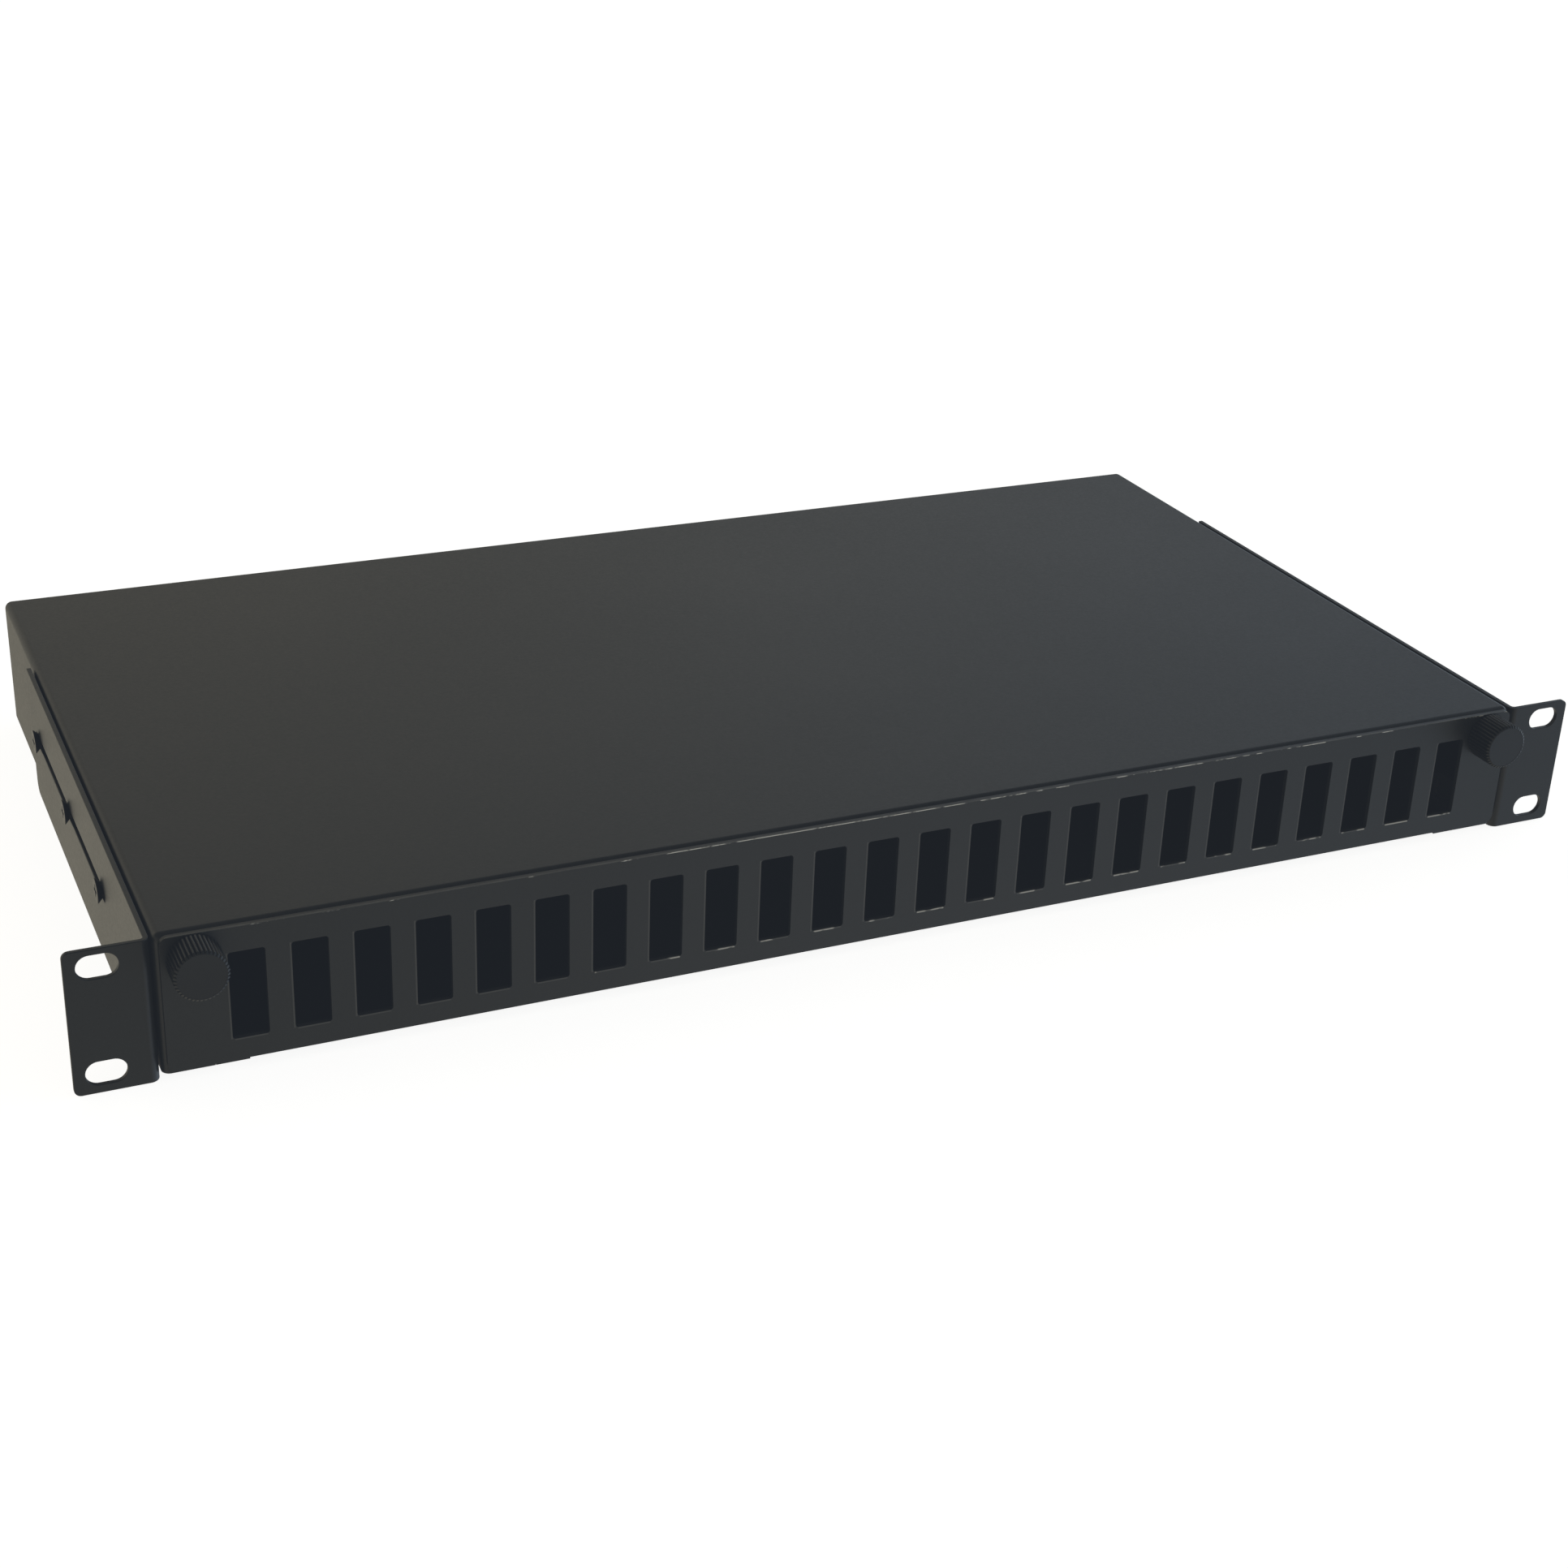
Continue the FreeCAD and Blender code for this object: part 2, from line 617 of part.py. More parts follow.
# ---------------------------------------------------------------- rack brackets
def rack_bracket(name, side):
    """L-shaped: a side plate outside the casing and an ear with two rack slots."""
    low, high = dim.ears_low, dim.ears_high
    ear_end = dim.ears_width / 2
    plate = box(name + "_side", plate_in, plate_out, 0, dim.bracket_length, low, high, side)
    ear = box(name + "_ear", plate_in, ear_end, 0, dim.ear_sheet, low, high, side)
    refined = doc.addObject("Part::Refine", name + "_refined")
    refined.Source = fuse(name + "_ell", [plate, ear])
    bent = fillet(
        name + "_bend_out", refined, dim.ear_bend,
        lambda e: along(e, "z") and near(abs(mid(e).x), plate_in) and near(mid(e).y, 0))
    bent = fillet(
        name + "_bend_in", bent, dim.ear_bend - dim.ear_sheet,
        lambda e: along(e, "z") and near(abs(mid(e).x), plate_out)
        and near(mid(e).y, dim.ear_sheet))
    blank = fillet(
        name + "_corners", bent, dim.ear_corner,
        lambda e: along(e, "y") and near(abs(mid(e).x), ear_end)
        and (near(mid(e).z, high) or near(mid(e).z, low)))
    blank = fillet(
        name + "_rear", blank, dim.bracket_corner,
        lambda e: along(e, "x") and near(mid(e).y, dim.bracket_length) and near(mid(e).z, low))

    tools = []
    x = dim.rack_x
    radius = dim.rack_slot_width / 2
    run = (dim.rack_slot_length - dim.rack_slot_width) / 2
    for tag, z in (("high", dim.rack_z), ("low", -dim.rack_z)):
        slot = "%s_slot_%s" % (name, tag)
        tools += [
            box(slot, x - run, x + run, -PAST, PAST, z - radius, z + radius, side),
            hole(slot + "_in", side * (x - run), 0, z, radius, "y"),
            hole(slot + "_out", side * (x + run), 0, z, radius, "y"),
        ]
    z = dim.guide_z
    radius = dim.guide_width / 2
    start = stud_y[0] - dim.guide_over + radius
    end = stud_y[-1] + dim.guide_over - radius
    tools += [
        box(name + "_guide", plate_in - PAST, plate_out + PAST, start, end,
            z - radius, z + radius, side),
        hole(name + "_guide_front", side * plate_in, start, z, radius, "x"),
        hole(name + "_guide_rear", side * plate_in, end, z, radius, "x"),
    ]
    piece(name, cut(camel(name), blank, tools))


def rack_brackets():
    for hand, side in SIDES:
        rack_bracket(hand + "_bracket", side)


def slide_screws():
    """A flared flat head with a cross recess outside the bracket, a neck in the guide
    slot, a shoulder in the gap and a thread through the casing side with a nut."""
    head_gap = 0.1  # between bracket and head, and between shoulder and bracket
    neck_inside, neck_into_head = 4.2, 0.4
    shoulder_radius = 2.4
    drive_arm, drive_half_slot = 2.0, 0.4
    nut_flats, nut_length, nut_play = 5.0, 2.0, 0.04
    z = dim.guide_z
    foot = plate_out + head_gap
    face = foot + dim.stud_head_proud
    wide = dim.stud_head_wide / 2
    studs, nuts = [], []
    for hand, side in SIDES:
        axis = OUTWARD[side]
        for k, y in enumerate(stud_y):
            name = "slide_%s_%d" % (hand, k)
            flare = cone(name + "_flare", side * foot, y, z, dim.stud_head_foot / 2, wide,
                         dim.stud_head_proud - dim.stud_head_land, axis)
            rim = cyl(name + "_rim", side * (face - dim.stud_head_land), y, z, wide,
                      dim.stud_head_land, axis)
            neck = cyl(name + "_neck", side * (half - neck_inside), y, z, dim.stud_neck,
                       dim.ear_gap + dim.ear_sheet + neck_inside + neck_into_head, axis)
            shoulder = cyl(name + "_shoulder", side * half, y, z, shoulder_radius,
                           dim.ear_gap - head_gap, axis)
            drive = cross_drive(name + "_drive_", "x", face, dim.stud_recess, y, z,
                                drive_arm, drive_half_slot, side)
            whole = fuse(name + "_whole", [flare, rim, neck, shoulder])
            studs.append(cut(name, whole, drive))
            nuts.append(hex_nut(name + "_nut", side * (inner_half - nut_length), y, z,
                                nut_flats, dim.stud_neck + nut_play, nut_length, axis))
    group("bracket_slide_studs", studs)
    group("bracket_stud_nuts", nuts)


# ---------------------------------------------------------------- drawer rails
lip_top = dim.runner_high + dim.rail_gap + dim.rail_lip  # top of the rails


def rail(name, side):
    """A foot on the base plate, a web, and two lips above and below the runner."""
    foot_width, lip_width = 9.5, 1.6
    web = dim.rail_web
    low = dim.case_floor + dim.sheet
    lip_low = dim.runner_low - dim.rail_gap
    lip_high = dim.runner_high + dim.rail_gap
    blocks = [  # part of the section, x0, x1, z0, z1
        ("foot", web, web + foot_width, low, low + dim.rail_sheet),
        ("web", web, web + dim.rail_sheet, low, lip_top),
        ("lip_low", web - lip_width, web, lip_low - dim.rail_lip, lip_low),
        ("lip_high", web - lip_width, web, lip_high, lip_top),
    ]
    shell = fuse(name + "_shell", [
        box("%s_%s" % (name, tag), x0, x1, dim.rail_start, dim.rail_end, z0, z1, side)
        for tag, x0, x1, z0, z1 in blocks
    ])
    holes = [
        hole("%s_hole_%d" % (name, k), side * rivet_x, y, low, dim.rail_rivet_hole)
        for k, y in enumerate(rail_rivet_y)
    ]
    piece(name, cut(camel(name), shell, holes))


def rails():
    rivet_radius, rivet_into_head = 1.5, 0.4
    head_foot, head_top, head_height = 2.8, 1.8, 1.0
    stop_front, stop_rear, stop_rise = 40, 46, 7.0
    stop_overlap, stop_round = 1.1, 0.8
    two_sheets = dim.sheet + dim.rail_sheet
    rivets, stops = [], []
    for hand, side in SIDES:
        rail(hand + "_rail", side)
        for k, y in enumerate(rail_rivet_y):
            name = "rail_rivet_%s_%d" % (hand, k)
            rivets.append(fuse(name, [
                cyl(name + "_shank", side * rivet_x, y, dim.case_floor, rivet_radius,
                    two_sheets + rivet_into_head),
                cone(name + "_head", side * rivet_x, y, dim.case_floor + two_sheets,
                     head_foot, head_top, head_height),
            ]))
        # a block on top of the rail that reaches in over the tray wall
        stop_top = dim.runner_high + stop_rise
        block = box("stop_" + hand, dim.tray_half - stop_overlap,
                    dim.rail_web + dim.rail_sheet, stop_front, stop_rear,
                    lip_top, stop_top, side)
        stops.append(fillet("stop_soft_" + hand, block, stop_round,
                            lambda e: near(mid(e).z, stop_top)))
    group("rail_rivets", rivets)
    group("drawer_stops", stops)


# ---------------------------------------------------------------- drawer tray
def drawer_tray():
    """A floor with low walls; two ears rise at the rear ends of the side walls."""
    ear_length = 12.0
    front_past = 0.2  # front upstand trim, past the sheet
    relief_width = 2.5
    notch_above_floor = 6.0
    gland_notch, plug_notch = 18, 12  # half widths
    stud_hole, post_hole = 1.35, 1.6

    def creased(name, base, radius, low):
        return fillet(name, base, radius, lambda e: near(mid(e).z, low))

    width, end, floor = dim.tray_half, dim.tray_end, dim.tray_floor
    inner = width - dim.tray_sheet
    wall, front = dim.tray_wall, dim.tray_front
    ears = wall + dim.ear_rise
    above = ears + PAST
    outer = box("tray_out", -width, width, 0, end, floor, ears)
    outer = creased("tray_soft", outer, dim.tray_bend, floor)
    cavity = box("tray_in", -inner, inner, dim.tray_sheet, end - dim.tray_sheet,
                 floor_top, above)
    cavity = creased("tray_in_soft", cavity, dim.tray_bend - dim.tray_sheet, floor_top)
    tools = [
        cavity,
        box("tray_low", -width - PAST, width + PAST, -PAST, end - ear_length, wall, above),
        box("tray_low_mid", -inner, inner, -PAST, end + PAST, wall, above),
        box("tray_front_low", -width - PAST, width + PAST, -PAST,
            dim.tray_sheet + front_past, front, above),
    ]
    for hand, side in SIDES:
        tools.append(box("tray_side_low_" + hand, width - relief_width, width + PAST,
                         -PAST, dim.tray_relief, front, above, side))
        for kind, x, reach in (("gland", dim.gland_x, gland_notch),
                               ("plug", dim.plug_x, plug_notch)):
            tools.append(box("tray_%s_notch_%s" % (kind, hand), x - reach, x + reach,
                             end - PAST, end + PAST, floor + notch_above_floor, above, side))
    for i, x in enumerate(panel_stud_x):
        tools.append(hole("tray_stud_hole_%d" % i, x, 0, dim.panel_stud_z, stud_hole, "y"))
    for hand, side in SIDES:
        tools.append(hole("tray_post_hole_" + hand, side * dim.post_x, dim.post_y, floor,
                          post_hole))
        for k, y in enumerate(runner_rivet_y):
            tools.append(hole("tray_runner_hole_%s_%d" % (hand, k), side * width, y,
                              runner_z, dim.runner_hole, "x"))
    piece("drawer_tray", cut("DrawerTray", outer, tools))


def runners():
    """A bar on each side wall of the tray, held by three rivets in sunk seats."""
    front, rear = 12, 224
    rail_play, end_round = 0.2, 0.8
    sink_radius, sink_length = 2.6, 2.0
    shank_radius, shank_length, shank_inside = 1.25, 2.6, 0.5
    head_radius, tail_radius, head_height = 2.4, 2.2, 0.7
    seat = dim.tray_half + dim.runner_sink
    inner = dim.tray_half - dim.tray_sheet
    rivets = []
    for hand, side in SIDES:
        name = hand + "_runner"
        axis = OUTWARD[side]
        bar = box(name + "_bar", dim.tray_half, dim.rail_web - rail_play, front, rear,
                  dim.runner_low, dim.runner_high, side)
        bar = fillet(name + "_soft", bar, end_round, lambda e: along(e, "x"))
        tools = []
        for k, y in enumerate(runner_rivet_y):
            tools.append(hole("%s_hole_%d" % (name, k), side * dim.tray_half, y, runner_z,
                              dim.runner_hole, "x"))
            tools.append(cyl("%s_sink_%d" % (name, k), side * seat, y, runner_z,
                             sink_radius, sink_length, axis))
            rivet = "%s_rivet_%d" % (name, k)
            rivets.append(fuse(rivet, [
                cyl(rivet + "_shank", side * (inner - shank_inside), y, runner_z,
                    shank_radius, shank_length, axis),
                cyl(rivet + "_head", side * seat, y, runner_z, head_radius, head_height, axis),
                cyl(rivet + "_tail", side * (inner - head_height), y, runner_z,
                    tail_radius, head_height, axis),
            ]))
        piece(name, cut(camel(name), bar, tools))
    group("runner_rivets", rivets)


# ---------------------------------------------------------------- front panel
def front_panel():
    """A plate in front of the tray with a row of port openings, two thumbscrew holes
    and blind stud seats in its rear face."""
    thumb_hole, seat_radius = 4.05, 2.05
    body = doc.addObject("PartDesign::Body", "FrontPanel")
    outline = new_sketch(body, "PanelOutline", "XZ_Plane")
    rectangle(outline, -dim.panel_width / 2, dim.panel_width / 2,
              dim.panel_bottom, dim.panel_top)
    pad = body.newObject("PartDesign::Pad", "PanelPad")
    pad.Profile = outline
    bind(pad, "Length", dim.panel_sheet)
    doc.recompute()
    corners = body.newObject("PartDesign::Fillet", "PanelCorners")
    corners.Base = (pad, [
        "Edge%d" % i for i, e in enumerate(pad.Shape.Edges, start=1) if along(e, "y")
    ])
    bind(corners, "Radius", dim.panel_corner)
    doc.recompute()

    # the leftmost port, then the row
    opening = new_sketch(body, "PortOutline", "XZ_Plane")
    first = -(dim.port_total - 1) / 2 * dim.port_pitch
    rectangle(opening, first - dim.port_width / 2, first + dim.port_width / 2,
              dim.port_mid - dim.port_height / 2, dim.port_mid + dim.port_height / 2)
    port = pocket_through(body, "PortPocket", opening)
    ports = body.newObject("PartDesign::LinearPattern", "PortRow")
    ports.Originals = [port]
    ports.Direction = (opening, ["H_Axis"])
    bind(ports, "Length", (dim.port_total - 1) * dim.port_pitch)
    bind(ports, "Occurrences", dim.port_total)
    body.Tip = ports
    doc.recompute()
    port_corners = body.newObject("PartDesign::Fillet", "PortCorners")
    port_corners.Base = (ports, [
        "Edge%d" % i for i, e in enumerate(ports.Shape.Edges, start=1)
        if along(e, "y") and abs(mid(e).x) < 200
        and near(abs(mid(e).z - dim.port_mid.value), dim.port_height / 2)
    ])
    bind(port_corners, "Radius", dim.port_corner)
    doc.recompute()

    thumb_sketch = new_sketch(body, "ThumbHoles", "XZ_Plane")
    for hand, side in SIDES:
        circle(thumb_sketch, side * dim.screw_x, dim.screw_z, thumb_hole, hand)
    holes = pocket_through(body, "ThumbPocket", thumb_sketch)
    seat_sketch = new_sketch(body, "StudSeats", "XZ_Plane")
    for i, x in enumerate(panel_stud_x):
        circle(seat_sketch, x, dim.panel_stud_z, seat_radius, "seat%d" % i)
    seats = pocket_forward(body, "StudPocket", seat_sketch, dim.panel_seat, holes)
    body.Tip = seats
    doc.recompute()
    piece("front_panel", body)


def panel_studs():
    """Concealed-head studs and nuts that join the panel to the tray."""
    head_radius, head_length = 2.0, 0.88
    shank_radius, shank_length, shank_front = 1.25, 5.0, -0.5
    nut_flats, nut_bore, nut_length = 4.4, 1.29, 1.8
    z = dim.panel_stud_z
    studs, nuts = [], []
    for i, x in enumerate(panel_stud_x):
        name = "panel_stud_%d" % i
        studs.append(fuse(name, [
            cyl(name + "_head", x, -dim.panel_seat, z, head_radius, head_length, "y"),
            cyl(name + "_shank", x, shank_front, z, shank_radius, shank_length, "y"),
        ]))
        nuts.append(hex_nut(name + "_nut", x, dim.tray_sheet, z, nut_flats, nut_bore,
                            nut_length))
    group("panel_studs", studs)
    group("panel_stud_nuts", nuts)


# ---------------------------------------------------------------- captive thumbscrews
def thumbscrews():
    """Knurled screws along -Y. Local Z points out of the front of the panel, with
    local zero on the panel's front face."""
    tip, tip_chamfer = 7.3, 0.5
    collar, collar_low, collar_high = 2.7, -0.9, -0.1
    recess_radius = 4.7
    rear_chamfer, front_chamfer = 0.4, 0.6
    thread, radius = dim.thread_radius, dim.knob_radius
    rear = dim.knob_stand
    front = rear + dim.knob_length
    outline = [  # radius, height
        (0, -tip),
        (thread - tip_chamfer, -tip),
        (thread, tip_chamfer - tip),
        (thread, collar_low),
        (collar, collar_low),
        (collar, collar_high),
        (thread, collar_high),
        (thread, rear + dim.knob_recess),
        (recess_radius, rear + dim.knob_recess),
        (recess_radius, rear),
        (radius - rear_chamfer, rear),
        (radius, rear + rear_chamfer),
        (radius, front - front_chamfer),
        (dim.knob_face, front),
        (0, front),
    ]

    def knurl(sketch):
        # the V runs on past the knob's radius by this share of its depth
        run_out = 0.5
        reach = radius + dim.knurl_depth * run_out
        wide = dim.knurl_half * (1 + run_out)
        polygon(sketch, [(radius - dim.knurl_depth, 0), (reach, wide), (reach, -wide)])

    for hand, side in SIDES:
        turned_grip(hand + "_thumbscrew", outline, knurl, front + 2, dim.knurls,
                    side * dim.screw_x, -dim.panel_sheet, dim.screw_z, "-y")


def thumbscrew_ferrules():
    """Flanged sleeves in the panel round the thumbscrews, and washers in the knobs."""
    outer_radius, outer_length = 4.4, 5.7
    spigot_radius, spigot_overlap, spigot_short = 4.0, 0.5, 0.05
    bore_radius, bore_depth = 2.85, 4.9
    thread_play = 0.06
    washer_radius, washer_length, washer_gap = 4.2, 0.7, 0.02
    face = -dim.panel_sheet
    neck = dim.thread_radius + thread_play
    z = dim.screw_z
    ferrules = []
    for hand, side in SIDES:
        name = hand + "_ferrule"
        x = side * dim.screw_x
        outer = cyl(name + "_outer", x, face - outer_length, z, outer_radius,
                    outer_length, "y")
        spigot = cyl(name + "_spigot", x, face - spigot_overlap, z, spigot_radius,
                     dim.panel_sheet + spigot_overlap - spigot_short, "y")
        ferrules.append(cut(name, fuse(name + "_body", [outer, spigot]), [
            cyl(name + "_bore", x, face - bore_depth, z, bore_radius, 10, "y"),
            hole(name + "_neck", x, face, z, neck, "y", 8),
        ]))
        washer = hand + "_thumbscrew_washer"
        washer_y = face - dim.knob_stand - (dim.knob_recess - washer_gap)
        piece(washer, tube(camel(washer), x, washer_y, z, washer_radius, neck,
                           washer_length))
    group("thumbscrew_ferrules", ferrules)


# ---------------------------------------------------------------- rear cable entries
GLAND_NUT_OUTLINE = [  # radius, height along the gland from the nut's front end
    (9.68, 0), (12.0, 0), (12.4, 0.4), (12.4, 10.0), (11.6, 12.8), (9.6, 14.6),
    (7.2, 15.2), (6.2, 15.2), (6.2, 12.6), (8.3, 12.6), (8.3, 8.6), (9.68, 8.6),
]


def glands():
    """Two cable glands: hexagon body, locknut, gasket, seal, ring and dome nut."""
    hex_length, hex_chamfer = 5.0, 0.6
    spigot_radius, spigot_inside, spigot_length = 10.1, 8.0, 10.5
    barrel_radius, barrel_start, barrel_length = 9.6, 5.0, 9.2
    bore_radius = 6.5
    seat_radius, seat_start, seat_length = 8.2, 7.5, 10
    lock_length, lock_extra, lock_bore = 4.2, 1, 10.16
    gasket_radius, gasket_bore = 11.8, 10.2
    seal_radius, seal_start, seal_length = 8.05, 7.6, 9.6
    ring_start, ring_length, ring_bore = 17.3, 0.8, 5.9
    nut_start = 6.2
    flute_centre, flute_radius, flute_length = 13.6, 1.9, 16

    def flute(sketch):
        circle(sketch, flute_centre, 0, flute_radius, "flute")

    z = dim.gland_z
    hex_start = rear_wall + dim.gland_gasket
    bodies, locks, gaskets, seals = [], [], [], []
    for hand, side in SIDES:
        x = side * dim.gland_x
        name = "gland_" + hand
        hexa = hexagon(name + "_hex", x, hex_start, z, dim.gland_flats, hex_length)
        hexa = fillet(name + "_hex_chamfered", hexa, hex_chamfer,
                      lambda e: near(mid(e).y, hex_start + hex_length), "Part::Chamfer")
        spigot = cyl(name + "_spigot", x, inside - spigot_inside, z,
                     spigot_radius, spigot_length, "y")
        barrel = cyl(name + "_barrel", x, rear_wall + barrel_start, z,
                     barrel_radius, barrel_length, "y")
        bodies.append(cut(name + "_body", fuse(name + "_solid", [hexa, spigot, barrel]), [
            hole(name + "_bore", x, rear_wall, z, bore_radius, "y", 20),
            cyl(name + "_seat", x, rear_wall + seat_start, z, seat_radius, seat_length, "y"),
        ]))
        locks.append(hex_nut(name + "_lock", x, inside - lock_length, z,
                             dim.gland_flats + lock_extra, lock_bore, lock_length))
        gaskets.append(tube(name + "_gasket", x, rear_wall, z, gasket_radius,
                            gasket_bore, dim.gland_gasket))
        seals.append(tube(name + "_seal", x, rear_wall + seal_start, z, seal_radius,
                          dim.cable_radius, seal_length))
        ring = hand + "_gland_ring"
        piece(ring, tube(camel(ring), x, rear_wall + ring_start, z, seal_radius,
                         ring_bore, ring_length))
        # dome nut: a turned shell with a fluted grip, screwed over the barrel
        turned_grip(hand + "_gland_nut", GLAND_NUT_OUTLINE, flute, flute_length,
                    dim.gland_flutes, x, rear_wall + nut_start, z, "y")
    group("gland_bodies", bodies)
    group("gland_locknuts", locks)
    group("gland_gaskets", gaskets)
    group("gland_seals", seals)


def blanking_plugs():
    """A round cap outside the wall, with a hollow stem and a bead inside it."""
    cap_radius, cap_height, cap_round = 12.0, 1.8, 0.8
    stem_radius, stem_length, stem_inside = 10.15, 4, 1.5
    bead_radius, bead_length = 10.6, 1.4
    hollow_radius, hollow_start, hollow_length = 8.6, 4, 6
    z = dim.gland_z
    stem_y = inside - stem_inside
    plugs = []
    for hand, side in SIDES:
        name = "plug_" + hand
        x = side * dim.plug_x
        cap = cyl(name + "_cap", x, rear_wall, z, cap_radius, cap_height, "y")
        cap = fillet(name + "_cap_soft", cap, cap_round,
                     lambda e: near(mid(e).y, rear_wall + cap_height))
        stem = cyl(name + "_stem", x, stem_y, z, stem_radius, stem_length, "y")
        bead = cyl(name + "_bead", x, stem_y, z, bead_radius, bead_length, "y")
        hollow = cyl(name + "_hollow", x, inside - hollow_start, z, hollow_radius,
                     hollow_length, "y")
        plugs.append(cut(name, fuse(name + "_solid", [cap, stem, bead]), [hollow]))
    group("blanking_plugs", plugs)


def earth_terminal():
    """A hexagon-headed stud through the rear wall, with a washer and two nuts."""
    flats, head_length = 8.0, 3.0
    shank_radius, shank_length = 2.5, 14.0
    washer_radius, washer_bore, washer_length = 5.0, 2.65, 1.0
    nut_bore, nut_length = 2.54, 3.6
    nut_places = [(1.0, 0), (6.0, 12)]  # start behind the wall, turn in degrees
    x, z = dim.earth_x, dim.earth_z
    head = hexagon("earth_head", x, inside - head_length, z, flats, head_length)
    shank = cyl("earth_shank", x, inside - 1, z, shank_radius, shank_length, "y")
    piece("earth_stud", fuse("EarthStud", [head, shank]))
    piece("earth_washer", tube("EarthWasher", x, rear_wall, z, washer_radius,
                               washer_bore, washer_length))
    group("earth_nuts", [
        hex_nut("earth_nut_%d" % i, x, rear_wall + y, z, flats, nut_bore, nut_length,
                spin=spin)
        for i, (y, spin) in enumerate(nut_places)
    ])


# ---------------------------------------------------------------- splice cassettes
def cassette_blank(name, inset, low, high):
    """A block with round corners, set in from the cassette's outline."""
    block = box(name, inset - dim.cassette_half, dim.cassette_half - inset,
                dim.cassette_front + inset, dim.cassette_back - inset, low, high)
    return fillet(name + "_soft", block, dim.cassette_corner - inset,
                  lambda e: along(e, "z"))


def cassette(label, low):
    """An open tray with two fibre mouths in its rear wall, two post hubs and two
    bend rings."""
    mouth_outer, mouth_inner, mouth_reach = 18, 40, 4  # mouth ends, in from the side
    hub_radius = 4.0
    ring_x, ring_radius, ring_drop = 44, 17.0, 1.5
    wall = dim.cassette_wall
    high = low + dim.cassette_tall
    outer = cassette_blank(label + "_out", 0, low, high)
    tools = [cassette_blank(label + "_in", wall, low + wall, high + PAST)]
    extras, bores = [], []
    for hand, side in SIDES:
        tools.append(box("%s_mouth_%s" % (label, hand), dim.cassette_half - mouth_inner,
                         dim.cassette_half - mouth_outer, dim.cassette_back - mouth_reach,
                         dim.cassette_back + mouth_reach, low + wall, high + PAST, side))
        extras.append(cyl("%s_hub_%s" % (label, hand), side * dim.post_x, dim.post_y, low,
                          hub_radius, dim.cassette_tall))
        ring = "%s_ring_%s" % (label, hand)
        extras.append(cut(
            ring,
            cyl(ring + "_out", side * ring_x, dim.post_y, low, ring_radius,
                dim.cassette_tall - ring_drop),
            [cyl(ring + "_in", side * ring_x, dim.post_y, low + wall, ring_radius - wall, 20)],
        ))
        bores.append(hole("%s_bore_%s" % (label, hand), side * dim.post_x, dim.post_y, low,
                          dim.post_bore, "z", 20))
    shell = cut(label + "_shell", outer, tools)
    piece(label, cut(camel(label), fuse(label + "_body", [shell] + extras), bores))


def splice_cassettes():
    cassette("lower_splice_cassette", lower_base)
    cassette("upper_splice_cassette", upper_base)


def cassette_lid():
    """A flat lid with a notch in the middle of its front and rear edges."""
    notch_half, notch_depth = 10, 4
    blank = cassette_blank("lid_plate", 0, stack_top, stack_top + dim.cassette_lid)
    tools = [
        hole("lid_plate_bore_" + hand, side * dim.post_x, dim.post_y, stack_top,
             dim.post_bore)
        for hand, side in SIDES
    ]
    for tag, y in (("front", dim.cassette_front), ("rear", dim.cassette_back)):
        tools.append(box("lid_plate_notch_" + tag, -notch_half, notch_half,
                         y - notch_depth, y + notch_depth,
                         stack_top - PAST, stack_top + PAST))
    piece("cassette_lid", cut("CassetteLid", blank, tools))


def cassette_posts():
    """Rods from the tray floor up through the cassettes, with spacers and wing nuts."""
    rod_radius, rod_above = 1.5, 7.5
    spacer_radius = 4.0
    knob_radius, knob_height, nut_bore = 4.0, 4.0, 1.54
    wing_reach, wing_half, wing_low, wing_high = 8, 0.9, 2.6, 6.2
    y = dim.post_y
    posts, nuts = [], []
    for hand, side in SIDES:
        x = side * dim.post_x
        name = "post_" + hand
        posts.append(fuse(name, [
            cyl(name + "_rod", x, y, dim.tray_floor, rod_radius,
                stack_top + rod_above - dim.tray_floor),
            cyl(name + "_spacer", x, y, floor_top, spacer_radius, lower_base - floor_top),
        ]))
        name = "wing_nut_" + hand
        knob = cyl(name + "_knob", x, y, stack_top + dim.cassette_lid, knob_radius,
                   knob_height)
        wings = box(name + "_wings", x - wing_reach, x + wing_reach, y - wing_half,
                    y + wing_half, stack_top + wing_low, stack_top + wing_high)
        nuts.append(cut(name, fuse(name + "_solid", [knob, wings]),
                        [hole(name + "_bore", x, y, stack_top, nut_bore, "z", 12)]))
    group("cassette_posts", posts)
    group("cassette_wing_nuts", nuts)


def splice_holders():
    """Slotted blocks, two on the floor of each cassette."""
    block_half, block_depth, block_height = 20, 22, 6
    slot_total, slot_first, slot_pitch, slot_width, slot_floor = 6, 1.2, 3.4, 2.6, 1.5
    holders = []
    for level, base in (("lower", lower_base), ("upper", upper_base)):
        low = base + dim.cassette_wall
        for j, y in enumerate((112, 166)):
            name = "holder_%s_%d" % (level, j)
            block = box(name + "_block", -block_half, block_half, y, y + block_depth,
                        low, low + block_height)
            slots = []
            for k in range(slot_total):
                start = y + slot_first + slot_pitch * k
                slots.append(box("%s_slot_%d" % (name, k), -block_half - 1, block_half + 1,
                                 start, start + slot_width,
                                 low + slot_floor, low + block_height + 2))
            holders.append(cut(name, block, slots))
    group("splice_holders", holders)


